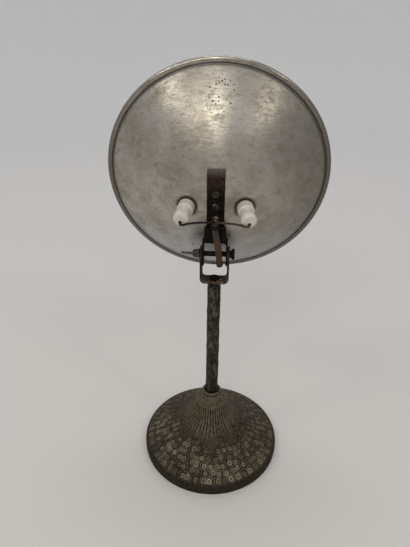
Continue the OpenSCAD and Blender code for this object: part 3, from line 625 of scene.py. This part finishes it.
bar = Finish("stem_iron", (0.05, 0.04, 0.03), 0.5, sheen=0.1)
stem_streaks = bar.placed(stretch=(1.0, 1.0, 0.4))
stem_patch = bar.grain(14.0, 4.0, warp=0.4, at=stem_streaks)
stem_rust = bar.grain(9.0, 4.0, warp=0.6, at=stem_streaks)
bar.colour(bar.over(
    bar.limits(stem_patch, 0.38, 0.62), (0.004, 0.003, 0.0025), (0.042, 0.032, 0.024),
))
bar.coat(bar.limits(stem_rust, 0.56, 0.70), (0.085, 0.046, 0.028))
stem_rubbed = bar.both(
    bar.attribute("rub"), bar.limits(stem_patch, 0.4, 0.6, 0.15, 0.8),
)
bar.coat(stem_rubbed, (0.165, 0.140, 0.110))
# Darker in the hammer hollows: dirt with painted shade.
bar.coat(bar.both(bar.attribute("dirt_and_shade"), 0.6), (0.004, 0.003, 0.0025))
stem_flecks = bar.grain(2.2, 4.0, at=stem_streaks)
bar.coat(bar.limits(stem_flecks, 0.56, 0.72, 0.0, 0.75), (0.13, 0.105, 0.08))
bar.set("Roughness", bar.limits(stem_patch, 0.3, 0.7, 0.42, 0.68))
bar.relief(stem_patch, 0.5)
bar.relief(bar.grain(1.1, 3.0), 0.2)
make_piece("stem_bar", bm, STAND, "stand", bar, ["stem"], 70.0)


# ---- Yoke, clevis and strap ---------------------------------------------------------------
# Three lengths of blackened strip iron, cut, drilled and bent cold, with broken edges.
# Years of handling have left them brown with rust, and lighter where they are rubbed.


def soften_edges(node, name, width, finish):
    """A copy of a CAD node's mesh with its sharp edges broken."""
    bm = bmesh.new()
    bm.from_mesh(frame["nodes"][node].data)
    bmesh.ops.remove_doubles(bm, verts=bm.verts, dist=1e-6)
    bmesh.ops.dissolve_limit(bm, angle_limit=math.radians(0.6), verts=bm.verts, edges=bm.edges)
    edges = [
        e for e in bm.edges
        if len(e.link_faces) == 2 and e.calc_face_angle(0.0) > math.radians(35.0)
    ]
    bmesh.ops.bevel(
        bm, geom=edges, offset=width / 1000.0, offset_type="OFFSET", segments=2,
        profile=0.5, affect="EDGES", material=-1, clamp_overlap=True,
    )
    bmesh.ops.triangulate(bm, faces=[f for f in bm.faces if len(f.verts) > 4])
    body = body_of(frame["nodes"][node])[0]
    make_piece(name, bm, Matrix.Identity(4), body, finish, [node], 40.0)


def iron_finish(name, dark, brown, worn, rust_share):
    """Blackened strip iron with rust in patches and small worn places."""
    iron = Finish(name, brown, 0.58, sheen=0.07)
    patch = iron.grain(7.0, 5.0, warp=0.8)
    fine = iron.grain(2.4, 4.0)
    iron.colour(iron.over(iron.limits(patch, 0.35, 0.65), dark, brown))
    iron.coat(iron.limits(fine, 1.0 - rust_share, 1.1 - rust_share), worn)
    iron.set("Roughness", iron.limits(patch, 0.3, 0.7, 0.45, 0.75))
    iron.relief(fine, 0.25)
    iron.relief(patch, 0.5)
    return iron


yoke = iron_finish(
    "yoke_iron", (0.020, 0.015, 0.010), (0.105, 0.080, 0.052), (0.26, 0.21, 0.145), 0.44,
)
# The arms are painted darker than the yoke's floor: painted shade on their sides.
arms_painted_shade = yoke.limits(yoke.parts()["Z"], 0.2585, 0.264, 0.0, 0.72)
yoke.coat(arms_painted_shade, (0.008, 0.006, 0.005))
soften_edges("yoke", "yoke_strip", 0.45, yoke)

clevis = iron_finish(
    "clevis_iron", (0.003, 0.0025, 0.002), (0.013, 0.010, 0.008), (0.075, 0.056, 0.042), 0.36,
)
soften_edges("clevis", "clevis_strip", 0.35, clevis)

# The strap is browner towards its top, and its bent end is painted grey: a painted highlight.
strap = iron_finish(
    "strap_iron", (0.002, 0.0016, 0.0013), (0.011, 0.007, 0.0055), (0.090, 0.064, 0.048), 0.36,
)
strap_height = strap.parts()["Z"]
strap_rust = strap.grain(3.0, 5.0, warp=0.8)
browner = strap.both(
    strap.limits(strap_height, 0.358, 0.372), strap.limits(strap_rust, 0.35, 0.6),
)
strap.coat(browner, (0.042, 0.023, 0.015))
# Painted highlight on the bent end, where it turns up to the light.
strap.coat(strap.limits(strap_height, 0.378, 0.385, 0.0, 0.85), (0.098, 0.085, 0.073))
soften_edges("strap", "strap_bar", 0.4, strap)


# ---- Screws, bolt and wing nut ------------------------------------------------------------
# Plain steel fastenings, gone brown or black. The bolt is clamped by a cast wing nut on the
# left, whose two wings stand edge on to the camera.

rusty = iron_finish(
    "rusty_steel", (0.012, 0.009, 0.007), (0.052, 0.038, 0.025), (0.25, 0.19, 0.125), 0.42,
)
black = iron_finish(
    "black_steel", (0.004, 0.003, 0.003), (0.015, 0.012, 0.010), (0.10, 0.078, 0.060), 0.37,
)
worn_steel = iron_finish(
    "worn_steel", (0.030, 0.022, 0.015), (0.15, 0.115, 0.075), (0.46, 0.38, 0.28), 0.46,
)
# The yoke's screw is black steel, and its blackness also serves as painted shade round its head.
for node, width, finish in (
    ("strap_screws", 0.25, rusty), ("clevis_rivets", 0.2, rusty), ("clip_screw", 0.15, worn_steel),
    ("yoke_screw", 0.3, black), ("pivot_bolt", 0.35, black), ("head_spacer", 0.25, black),
    ("nut_washer", 0.2, black), ("cord_clip", 0.2, black),
):
    soften_edges(node, node + "_worn", width, finish)

NUT_FACE = -17.6
NUT_PLACE = (
    Matrix.Translation((NUT_FACE / 1000.0, 0.0, PIVOT_Z))
    @ Matrix.Rotation(math.radians(-90.0), 4, "Y")
    @ Matrix.Rotation(math.radians(118.0), 4, "Z")
    @ Matrix.Scale(0.001, 4)
)
bm = bmesh.new()
spin_profile(bm, [
    (3.05, 0.0), (4.7, 0.0), (5.0, 0.3), (4.8, 2.0), (4.5, 4.4), (4.25, 6.0), (3.9, 6.6),
    (3.05, 6.6),
], 40, closed=True)
WING_RUN = [
    (3.6, 3.3, 5.0, 2.6), (5.4, 5.6, 5.8, 2.4), (7.3, 9.0, 6.2, 2.1), (9.0, 12.4, 6.4, 2.0),
    (10.4, 15.4, 6.0, 2.1), (11.4, 17.6, 4.6, 2.0), (12.1, 19.0, 2.2, 1.3),
]
WING_LEAN = math.atan2(15.7, 8.5)
for side in (0.0, math.pi):
    quad = bmesh.ops.create_grid(bm, x_segments=2, y_segments=2, size=0.5)["verts"]
    tip = list({f for v in quad for f in v.link_faces})
    before = Matrix.Identity(4)
    for k, (reach, height, depth, thick) in enumerate(WING_RUN):
        if k:
            grown = bmesh.ops.extrude_face_region(bm, geom=tip)["geom"]
            bmesh.ops.delete(bm, geom=tip, context="FACES_ONLY")
            quad = [g for g in grown if isinstance(g, bmesh.types.BMVert)]
            tip = [g for g in grown if isinstance(g, bmesh.types.BMFace)]
        section = (
            Matrix.Rotation(side, 4, "Z")
            @ Matrix.Translation((reach, 0.0, height))
            @ Matrix.Rotation(math.pi / 2 - WING_LEAN, 4, "Y")
            @ Matrix.Diagonal((depth, thick, 1.0, 1.0))
        )
        bmesh.ops.transform(bm, matrix=section @ before.inverted(), verts=quad)
        before = section
wing_iron = iron_finish(
    "wing_iron", (0.020, 0.018, 0.015), (0.085, 0.076, 0.064), (0.30, 0.27, 0.23), 0.46,
)
wing = make_piece(
    "wing_nut_cast", bm, NUT_PLACE, "wing", wing_iron, ["wing_nut"], 60.0,
)
wing_round = wing.modifiers.new("round", "SUBSURF")
wing_round.levels = 2
wing_round.render_levels = 2


# ---- Bowl ---------------------------------------------------------------------------------
# One sheet of aluminium, spun to a deep dish and rolled back over a wire at its rim.
# The face of the chuck has left fine rings; the back is dull, wiped, stained and pitted.

BOWL_UP = 65.0
BOWL = (
    HEAD @ Matrix.Translation((0.0, 0.0, BOWL_UP))
    @ Matrix.Rotation(math.radians(-90.0), 4, "X")
)
FOCUS = 60.0
SHEET = 1.0
RIM = Vector((121.8, 121.8 ** 2 / (4 * FOCUS)))
BEAD = 3.2
BEAD_HOLLOW = 2.3
SEAT_X = 30.0
SEAT_DROP = 6.5
SPLAY = math.radians(8.0)
SEAT_A = 17.5 ** 2 / (4 * FOCUS) - 0.35 + 12.5 * math.tan(SPLAY)


def terminal_place(side):
    """The line of one terminal, from the face of its seat forward into the bowl."""
    return (
        BOWL
        @ Matrix.Diagonal((side, 1.0, 1.0, 1.0))
        @ Matrix.Translation((SEAT_X, SEAT_DROP, SEAT_A))
        @ Matrix.Rotation(-SPLAY, 4, "Y")
    )


def sheet_point(radius, off=0.0):
    """A point of the dish's back, or off it towards its face."""
    lean = math.atan(radius / (2 * FOCUS))
    return (radius - off * math.sin(lean), radius ** 2 / (4 * FOCUS) + off * math.cos(lean))


# The rings lie closest together where the terminals' seats are pressed in.
radii = [0.0, 3.0, 6.0, 9.0, 11.5]
radii += [14.0 + 0.72 * k for k in range(44)]
radii += [45.7 + 1.5 * k for k in range(48)]
dish = [sheet_point(r) for r in radii if r < 117.7]
dish += [sheet_point(*p) for p in ((117.9, 0.0), (118.15, 0.3), (118.6, 0.7), (119.3, 0.7))]
for k in range(37):
    angle = math.radians(218.0 + 346.0 * k / 36)
    dish.append((RIM.x + BEAD * math.cos(angle), RIM.y + BEAD * math.sin(angle)))
dish += [sheet_point(r, SHEET) for r in reversed(radii) if r < 118.5]

bm = bmesh.new()
spin_profile(bm, dish, 256)
bmesh.ops.recalc_face_normals(bm, faces=bm.faces)
bm.normal_update()
dirt_and_shade = bm.verts.layers.float.new("dirt_and_shade")
inside = bm.verts.layers.float.new("inside")
seats = [BOWL.inverted() @ terminal_place(side) for side in (-1.0, 1.0)]
# The groove behind the bead and a ring round each seat are darkened: painted shade with dirt.
for v in bm.verts:
    radius = v.co.xy.length
    back_height = radius ** 2 / (4 * FOCUS)
    outside = v.co.z < back_height + 0.4
    in_groove = clamped(1.6 - abs(radius - 118.8) / 0.5)
    v[dirt_and_shade] = in_groove if v.co.z < back_height + 1.15 else 0.0
    v[inside] = 0.0 if outside or radius > 118.5 else 1.0
    if radius > 48.0:
        continue
    for seat in seats:
        local = seat.inverted() @ v.co
        away = local.xy.length
        if away > 15.5:
            continue
        flat_at = 0.0 if outside else SHEET
        local.z += (flat_at - local.z) * clamped((13.2 - away) / 1.4)
        local.z -= 0.16 * max(0.0, 1.0 - ((away - 13.6) / 1.3) ** 2)
        v.co = seat @ local
        v[dirt_and_shade] = max(v[dirt_and_shade], 0.8 * max(0.0, 1.0 - abs(away - 11.2) / 1.4))

# A small spare hole is drilled low on the left.
HOLE_AT = Vector((-27.0, 69.5, 0.0))
hole_radius = HOLE_AT.length
hole_edges = []
for off in (0.0, SHEET):
    out, deep = sheet_point(hole_radius, off)
    middle = Vector((HOLE_AT.x * out / hole_radius, HOLE_AT.y * out / hole_radius, deep))
    nearest = min(bm.verts, key=lambda v: (v.co - middle).length)
    around = [e.other_vert(nearest) for e in nearest.link_edges]
    bmesh.ops.dissolve_verts(bm, verts=[nearest])
    face = [f for f in around[0].link_faces if all(v in f.verts for v in around)][0]
    bmesh.ops.inset_individual(bm, faces=[face], thickness=0.35)
    bmesh.ops.subdivide_edges(bm, edges=list(face.edges), cuts=1)
    face.normal_update()
    side_way = face.normal.cross(HOLE_AT).normalized()
    up_way = side_way.cross(face.normal)
    turns = [
        math.atan2((v.co - middle).dot(up_way), (v.co - middle).dot(side_way)) for v in face.verts
    ]
    order = sorted(range(len(turns)), key=lambda k: turns[k])
    for place_in_turn, k in enumerate(order):
        angle = turns[order[0]] + math.tau * place_in_turn / len(turns)
        face.verts[k].co = middle + math.cos(angle) * side_way + math.sin(angle) * up_way
        # The hole's edge is darkened: painted shade with dirt.
        face.verts[k][dirt_and_shade] = 0.6
    hole_edges += list(face.edges)
    bmesh.ops.delete(bm, geom=[face], context="FACES_ONLY")
bmesh.ops.bridge_loops(bm, edges=hole_edges)

# The bead is hollow round its wire.
hollow = [
    (RIM.x + BEAD_HOLLOW * math.cos(turn), RIM.y + BEAD_HOLLOW * math.sin(turn))
    for turn in (math.tau * k / 20 for k in range(20))
]
spin_round(bm, draw_profile(bm, hollow, closed=True), 96)

spun = Finish("spun_aluminium", (0.60, 0.59, 0.57), 0.4, 1.0)
POLE = HEAD @ Vector((0.0, 0.0, BOWL_UP))
UNTURN = Matrix.Rotation(-(TILT - math.radians(90.0)), 3, "X")
dish_place = spun.placed(
    turn=(math.radians(90.0) - TILT, 0.0, 0.0), move=tuple(-(UNTURN @ POLE)),
)
parts = spun.parts(dish_place)
from_axis = spun.both(
    spun.both(
        spun.both(parts["X"], parts["X"]), spun.both(parts["Y"], parts["Y"]), "ADD",
    ), 0.5, "POWER",
)
ring_values = {"Scale": 900.0, "Detail": 3.0, "Roughness": 0.7}
rings = spun.node(
    "ShaderNodeTexNoise", {"W": from_axis}, ring_values, noise_dimensions="1D",
).outputs["Fac"]
blotch = spun.grain(34.0, 4.0, warp=0.5, at=dish_place)
wipes = spun.grain(8.0, 5.0, rough=0.66, warp=0.4, at=spun.placed(stretch=(0.8, 1.0, 1.25)))
speck = spun.grain(1.3, 3.0)
scratch = spun.grain(
    2.2, 3.0, warp=0.6, at=spun.placed(stretch=(0.25, 1.0, 1.0), turn=(0.0, 0.3, 0.0)),
)


def pit_spots(size, least, most, middle, reach):
    """Round pits, one to a cell, in an upright patch that thins out from its middle."""
    pit_cells = spun.cells(size, at=dish_place)
    pit_chance = spun.node("ShaderNodeSeparateColor", {"Color": pit_cells["Color"]}).outputs["Red"]
    aside = spun.vector("SUBTRACT", dish_place, middle)
    aside = spun.vector("MULTIPLY", aside, (1.6, 1.0, 1.0))
    share = spun.limits(spun.vector("LENGTH", aside), 0.5 * reach, reach, 1.0, 0.0)
    radius = spun.both(spun.limits(pit_chance, least, 1.0, 0.0, most), share)
    return spun.limits(
        spun.both(pit_cells["Distance"], radius, "SUBTRACT"), -0.05, 0.0, 1.0, 0.0,
    )


# The large pits are closest together high on the back, and the fine ones lie to its left.
pits = spun.both(
    pit_spots(2.9, 0.10, 0.38, (0.003, -0.095, 0.035), 0.042),
    pit_spots(7.0, 0.40, 0.12, (0.0, 0.0, 0.0), 0.4), "MAXIMUM",
)
fine_pits = spun.both(
    pit_spots(2.0, 0.55, 0.40, (-0.036, -0.062, 0.021), 0.040),
    pit_spots(2.4, 0.60, 0.40, (-0.055, 0.020, 0.015), 0.040), "MAXIMUM",
)
spun.colour(spun.over(
    spun.limits(blotch, 0.32, 0.68), (0.315, 0.280, 0.230), (0.490, 0.458, 0.405),
))
spun.coat(spun.limits(wipes, 0.48, 0.72, 0.0, 0.5), (0.55, 0.52, 0.465))
spun.coat(spun.limits(wipes, 0.30, 0.46, 0.5, 0.0), (0.22, 0.195, 0.16))
spun.coat(spun.limits(scratch, 0.58, 0.74, 0.0, 0.3), (0.20, 0.18, 0.15))
# The lower part of the back is painted paler and cooler: a painted reflection of the floor.
painted_floor_reflection = spun.both(
    spun.limits(parts["Y"], 0.02, 0.085), spun.limits(blotch, 0.35, 0.65, 0.3, 0.8),
)
spun.coat(painted_floor_reflection, (0.53, 0.56, 0.59))
spun.coat(spun.limits(speck, 0.56, 0.78, 0.0, 0.6), (0.16, 0.14, 0.115))
# Darker towards the right of the dish: painted shade.
spun.coat(spun.limits(parts["X"], 0.02, 0.12, 0.0, 0.76), (0.16, 0.145, 0.12))
spun.coat(spun.both(spun.attribute("inside"), 0.7), (0.58, 0.565, 0.53))
on_back = spun.limits(spun.attribute("inside"), 0.0, 1.0, 0.85, 0.0)
spun.coat(spun.both(fine_pits, 0.6), (0.10, 0.085, 0.065))
spun.coat(spun.both(pits, on_back), (0.05, 0.04, 0.03))
bead = spun.limits(from_axis, 0.1186, 0.1190)
# The bead is painted darker at its sides and bottom, leaving its top light: painted shade.
bead_painted_shade = spun.both(bead, spun.limits(parts["Y"], -0.118, -0.02, 0.1, 0.86))
spun.coat(bead_painted_shade, (0.15, 0.138, 0.118))
# A dark line round the rim and dark rings at the seats: dirt with painted shadow.
groove = spun.both(
    spun.limits(from_axis, 0.1175, 0.1180), spun.limits(from_axis, 0.1193, 0.1197, 1.0, 0.0),
)
groove = spun.both(groove, spun.attribute("inside"), "SUBTRACT")
groove = spun.both(groove, spun.attribute("dirt_and_shade"), "MAXIMUM")
spun.coat(groove, (0.016, 0.013, 0.009))
dull = spun.limits(spun.both(blotch, wipes, "ADD"), 0.7, 1.3, 0.39, 0.285)
dull = spun.both(dull, spun.limits(scratch, 0.46, 0.66, 0.0, 0.14), "ADD")
spun.set("Roughness", spun.both(dull, spun.limits(bead, 0.0, 1.0, 1.0, 0.66)))
# The painted dark line is made dull, not metal.
spun.set("Metallic", spun.limits(groove, 0.0, 0.8, 1.0, 0.0))
spun.relief(rings, 0.03)
spun.relief(spun.limits(scratch, 0.46, 0.68, 1.0, 0.0), 0.06)
spun.relief(spun.limits(speck, 0.5, 0.8, 1.0, 0.0), 0.04)
spun.relief(pits, -0.4)
# The rings of the spinning draw each highlight out towards the middle of the dish.
outward = spun.node(
    "ShaderNodeVectorTransform", {"Vector": spun.vector("SUBTRACT", spun.where, POLE)},
    vector_type="VECTOR", convert_from="OBJECT", convert_to="WORLD",
)
spun.set("Tangent", outward.outputs["Vector"])
spun.set("Anisotropic", 0.4)
make_piece("bowl_spun", bm, BOWL, "head", spun, ["bowl"], 60.0)


# ---- Porcelain insulators -----------------------------------------------------------------
# Two slip-glazed porcelain spools, turned with a grooved collar, a waist and a domed end.
# A post runs into each from inside the bowl, and its lead comes out of the hole in the end.

porcelain = Finish("porcelain", (0.66, 0.63, 0.55), 0.34)
glaze_stain = porcelain.grain(6.0, 4.0)
glaze_speck = porcelain.grain(0.9, 2.0)
porcelain.colour(porcelain.over(
    porcelain.limits(glaze_stain, 0.48, 0.75, 0.0, 0.7),
    (0.585, 0.555, 0.485), (0.42, 0.375, 0.29),
))
porcelain.coat(porcelain.limits(glaze_speck, 0.66, 0.76, 0.0, 0.5), (0.30, 0.25, 0.18))
# Darker in the grooves, at the seat and in the hole: painted shade with dirt.
porcelain.coat(porcelain.both(porcelain.attribute("dirt_and_shade"), 0.8), (0.20, 0.16, 0.11))
porcelain.set("Roughness", porcelain.limits(glaze_stain, 0.4, 0.7, 0.26, 0.45))
porcelain.set("Coat Weight", 0.15)
porcelain.set("Coat Roughness", 0.2)
porcelain.relief(glaze_stain, 0.15)

SPOOL_BACK = -31.0
HOLE_DROP = 2.6
HOLE_DEPTH = 12.0
spool = [
    (r, SPOOL_BACK + z)
    for r, z in ((0.0, HOLE_DEPTH), (1.8, HOLE_DEPTH), (1.8, 0.4), (1.95, 0.0))
]
spool += [
    (4.0 + 4.0 * math.sin(t), SPOOL_BACK + 4.0 - 4.0 * math.cos(t))
    for t in (0.17, 0.4, 0.65, 0.9, 1.2, 1.45)
]
spool += [
    (r, SPOOL_BACK + z)
    for r, z in ((8.0, 5.0), (8.0, 7.4), (7.9, 8.3), (7.2, 9.9), (7.0, 10.8))
]
spool += [(7.0, -13.6), (7.15, -12.9), (7.9, -11.9), (8.5, -11.3), (8.72, -10.8)]
GROOVES = (-8.5, -5.5)
for groove in GROOVES:
    spool += [
        (8.75, groove - 0.7), (8.55, groove - 0.4), (8.25, groove),
        (8.55, groove + 0.4), (8.75, groove + 0.7),
    ]
spool += [
    (8.75, -2.2), (8.6, -1.6), (8.15, -1.05), (5.7, -1.0),
    (5.7, 1.0), (2.55, 1.0), (2.55, -18.9), (0.0, -18.9),
]
for side, name in ((-1.0, "left"), (1.0, "right")):
    bm = bmesh.new()
    spin_profile(bm, spool, 56)
    dirt_and_shade = bm.verts.layers.float.new("dirt_and_shade")
    # The grooves, the end at the seat and the hole are darkened: painted shade with dirt.
    for v in bm.verts:
        radius = v.co.xy.length
        deep = max(max(0.0, 1.0 - abs(v.co.z - g) / 0.6) for g in GROOVES) if radius > 8.0 else 0.0
        at_seat = 0.6 * max(0.0, 1.0 - abs(v.co.z + 1.4) / 0.8)
        v[dirt_and_shade] = max(deep, at_seat, 1.0 if radius < 1.9 else 0.0)
        if radius < 2.0 and v.co.z < SPOOL_BACK + HOLE_DEPTH + 0.05:
            v.co.y += HOLE_DROP
    make_piece(
        "insulator_" + name + "_glazed", bm, terminal_place(side), "head",
        porcelain, ["insulator_" + name], 40.0,
    )


# ---- Leads --------------------------------------------------------------------------------
# Two short insulated wires, one black and one red-brown, from the ends of the spools over to
# the end of the cord. They are stiff, and each keeps the bend that it was given.

LEAD_WIDTH = 2.3
SPOOL_LINE = HEAD.inverted() @ terminal_place(1.0)


def in_hole(z):
    """A point of the middle of the right spool's hole, in the head's frame."""
    return SPOOL_LINE @ Vector((0.0, HOLE_DROP, z))


lead_out = in_hole(SPOOL_BACK)
lead_in = Vector((1.5, CORD_BACK, 44.2))


def lead_at(t, off):
    """A point off the straight line from the spool's hole to the end of the cord."""
    return lead_out + t * (lead_in - lead_out) + Vector(off)


lead_run = [
    in_hole(SPOOL_BACK + HOLE_DEPTH), in_hole(SPOOL_BACK + 5.0), in_hole(SPOOL_BACK - 0.2),
    lead_at(0.0, (-0.7, -2.4, -0.9)), lead_at(0.0, (-4.2, -3.0, -0.4)),
    lead_at(0.3, (0.0, -3.0, 1.2)), lead_at(0.55, (0.0, -2.0, 1.8)),
    lead_at(0.8, (0.0, -1.2, 1.8)), lead_at(1.0, (1.2, -0.6, 1.8)), lead_in,
]
LEADS = (
    (-1.0, "left", (0.007, 0.007, 0.007), (0.026, 0.023, 0.021), "lead_black"),
    (1.0, "right", (0.028, 0.018, 0.012), (0.108, 0.062, 0.040), "lead_brown"),
)
for side, name, dark, light, slot in LEADS:
    sleeve = Finish("lead_" + name + "_sleeve", light, 0.6, sheen=0.15)
    lead_age = sleeve.grain(5.0, 4.0)
    sleeve.colour(sleeve.over(sleeve.limits(lead_age, 0.35, 0.65), dark, light))
    sleeve.relief(sleeve.grain(0.8, 2.0), 0.15)
    bm = bmesh.new()
    run = smooth_run([Vector((side * p.x, p.y, p.z)) for p in lead_run], 10)

    def lead_radius(along, angle):
        lump = noise.noise(Vector((along * 0.4, side * 5.0, 0.0)))
        return LEAD_WIDTH / 2 * (1.0 + 0.07 * lump)

    rings = draw_tube(bm, run, lead_radius, 14, lambda k: Vector((0.0, 0.1, 1.0)))
    cap_ring(bm, rings[0], 0.0, 0.3)
    cap_ring(bm, rings[-1], 0.0, 0.3)
    make_piece("lead_" + name + "_wire", bm, HEAD, "head", sleeve, ["lead_" + name])


# ---- Element ------------------------------------------------------------------------------
# A fireclay bar with a coil of resistance wire wound round it, between two plated sleeves.
# Brass spring clips on the brass posts grip the sleeves, as on other bowl heaters.

BAR_A = 58.0
COIL_TURNS = 15
COIL_RADIUS = 7.35
COIL_WIRE = 1.1
# Each clip is beyond the sheet, the bush, the nut and the start of its post's pillar.
CLIP_OUT = SHEET + 9.0 + 3.6 + 2.0 + 3.0
CLIP_HALF, FLANGE, FLANGE_GAP = 4.0, 1.6, 0.5
BAR_LENGTH = 2 * (SEAT_X - CLIP_OUT * math.sin(SPLAY) - CLIP_HALF - FLANGE - FLANGE_GAP)
coil_run_length = BAR_LENGTH - 5.2
coil_start = [(0.0, 0.0), (1.2, 0.0), (2.0, 2.0), (2.4, 8.0)]
coil_steps = 48
coil_spin = list(coil_start)
coil_spin += [
    (2.6 + coil_run_length * k / (COIL_TURNS * coil_steps), 360.0 * k / coil_steps)
    for k in range(2, COIL_TURNS * coil_steps - 1)
]
coil_spin += [(BAR_LENGTH - x, 360.0 * COIL_TURNS - turn) for x, turn in reversed(coil_start)]
coil_run = [
    Vector((
        x - BAR_LENGTH / 2,
        COIL_RADIUS * math.cos(math.radians(turn + 180.0)),
        COIL_RADIUS * math.sin(math.radians(turn + 180.0)),
    ))
    for x, turn in coil_spin
]
bm = bmesh.new()
rings = draw_tube(
    bm, coil_run, lambda along, angle: COIL_WIRE / 2, 10,
    lambda k: Vector((0.0, coil_run[k].y, coil_run[k].z)),
)
cap_ring(bm, rings[0], 0.0, 0.15)
cap_ring(bm, rings[-1], 0.0, 0.15)
BAR_PLACE = HEAD @ Matrix.Translation((0.0, BAR_A, BOWL_UP - SEAT_DROP))
wound = Finish("resistance_wire", (0.30, 0.26, 0.23), 0.5, 0.8)
coil_age = wound.grain(4.0, 4.0)
wound.colour(wound.over(coil_age, (0.15, 0.125, 0.105), (0.42, 0.37, 0.33)))
wound.set("Roughness", wound.limits(coil_age, 0.3, 0.7, 0.4, 0.62))
make_piece(
    "heating_coil_wound", bm, BAR_PLACE, "head", wound, ["heating_coil"],
)


def plain_finish(name, dark, light, rough, metallic, patch_size, grain_size, depth):
    """A finish that varies softly between two shades, with a fine grain."""
    plain = Finish(name, light, rough, metallic)
    patch = plain.grain(patch_size, 4.0)
    plain.colour(plain.over(plain.limits(patch, 0.3, 0.7), dark, light))
    plain.set("Roughness", plain.limits(patch, 0.3, 0.7, rough + 0.08, rough - 0.08))
    plain.relief(plain.grain(grain_size, 3.0), depth)
    return plain


def keep_node(node, finish):
    """A CAD node whose shape is right: only its material is set."""
    slots = frame["nodes"][node].material_slots
    if not slots:
        frame["nodes"][node].data.materials.append(finish.material)
    for part in slots:
        part.material = finish.material


# The board washers are very dark: the board's own colour with painted shade round each spool.
fireclay, brass, zinc, board = (
    plain_finish(*look) for look in (
        ("fireclay", (0.62, 0.56, 0.46), (0.80, 0.76, 0.67), 0.85, 0.0, 6.0, 0.9, 0.12),
        ("terminal_brass", (0.36, 0.25, 0.10), (0.60, 0.45, 0.20), 0.38, 1.0, 8.0, 1.0, 0.04),
        ("dull_zinc", (0.30, 0.29, 0.27), (0.52, 0.50, 0.47), 0.42, 0.9, 6.0, 1.2, 0.06),
        ("board_washer", (0.014, 0.011, 0.008), (0.04, 0.031, 0.024), 0.85, 0.0, 4.0, 0.7, 0.12),
    )
)
keep_node("element_bar", fireclay)
for node in ("post_left", "post_right"):
    keep_node(node, brass)
for node, width, finish, slot in (
    ("inner_bushes", 0.5, porcelain, "porcelain"),
    ("post_nuts", 0.25, brass, "terminal_brass"),
    ("spring_clips", 0.2, brass, "terminal_brass"),
    ("bar_sleeves", 0.25, zinc, "hardware_steel"),
    ("insulator_washers", 0.15, board, "mica_board"),
    ("strap_nuts", 0.25, zinc, "hardware_steel"),
    ("backing_plate", 0.3, zinc, "hardware_steel"),
    ("foot_washer", 0.25, zinc, "hardware_steel"),
    ("foot_nut", 0.4, zinc, "hardware_steel"),
):
    soften_edges(node, node + "_finished", width, finish)
keep_node("rim_wire", zinc)


# ---- Guard --------------------------------------------------------------------------------
# A domed wire guard: eight ribs over a hoop and a centre ring, spot-welded where they cross,
# and sprung into the bowl by its outer ring. All of it is plated.

plated = plain_finish(
    "plated_wire", (0.36, 0.355, 0.34), (0.60, 0.59, 0.57), 0.3, 1.0, 12.0, 1.5, 0.03,
)
DOME_RADIUS = 211.32
DOME_CENTRE = -115.23
RING_RADIUS = 114.95
RING_A = 58.74
HOOP_RADIUS = 62.0
EYE_RADIUS = 15.0
RIB_WIRE = 1.2
RIBS = 8


def bend_ring(bm, radius, height, wire):
    """A closed ring of round wire."""
    ring = bmesh.ops.create_circle(bm, radius=wire, segments=16)["verts"]
    turn = Matrix.Translation((radius, 0.0, height)) @ Matrix.Rotation(math.pi / 2, 4, "X")
    bmesh.ops.transform(bm, matrix=turn, verts=ring)
    lines = list({e for v in ring for e in v.link_edges})
    spin_round(bm, ring + lines, 128)


for name, radius, height, wire in (
    ("guard_ring", RING_RADIUS, RING_A, 1.5),
    ("guard_hoop", HOOP_RADIUS, None, RIB_WIRE),
    ("guard_eye", EYE_RADIUS, None, RIB_WIRE),
):
    bm = bmesh.new()
    if height is None:
        under = DOME_RADIUS - 2.55
        lean = math.asin(radius / DOME_RADIUS)
        radius, height = under * math.sin(lean), DOME_CENTRE + under * math.cos(lean)
    bend_ring(bm, radius, height, wire)
    make_piece(name + "_wire", bm, BOWL, "head", plated, [name])

bm = bmesh.new()
low = math.asin((RING_RADIUS + 0.5) / DOME_RADIUS)
high = math.asin(13.0 / DOME_RADIUS)
for k in range(RIBS):
    around = Matrix.Rotation(math.tau * (k + 0.5) / RIBS, 4, "Z")
    rib_run = []
    for j in range(33):
        t = low + (high - low) * j / 32
        spot = Vector((DOME_RADIUS * math.sin(t), 0.0, DOME_CENTRE + DOME_RADIUS * math.cos(t)))
        rib_run.append(around @ spot)
    flat_way = around @ Vector((0.0, 1.0, 0.0))
    rings = draw_tube(bm, rib_run, lambda along, angle: RIB_WIRE, 14, lambda k: flat_way)
    cap_ring(bm, rings[0], 0.3, 0.35)
    cap_ring(bm, rings[-1], 0.3, 0.35)
    for radius in (RING_RADIUS - 0.4, HOOP_RADIUS, EYE_RADIUS):
        t = math.asin(radius / DOME_RADIUS)
        off = DOME_RADIUS - (1.6 if radius > 100.0 else 1.25)
        spot = Vector((off * math.sin(t), 0.0, DOME_CENTRE + off * math.cos(t)))
        blob = bmesh.ops.create_icosphere(bm, subdivisions=2, radius=1.0)["verts"]
        shape = around @ Matrix.Translation(spot) @ Matrix.Diagonal((1.3, 1.5, 0.75, 1.0))
        bmesh.ops.transform(bm, matrix=shape, verts=blob)
make_piece("guard_ribs_wire", bm, BOWL, "head", plated, ["guard_ribs"])


# ---- View ---------------------------------------------------------------------------------
# The view shows colours as they are.

bpy.context.scene.view_settings.view_transform = "Standard"
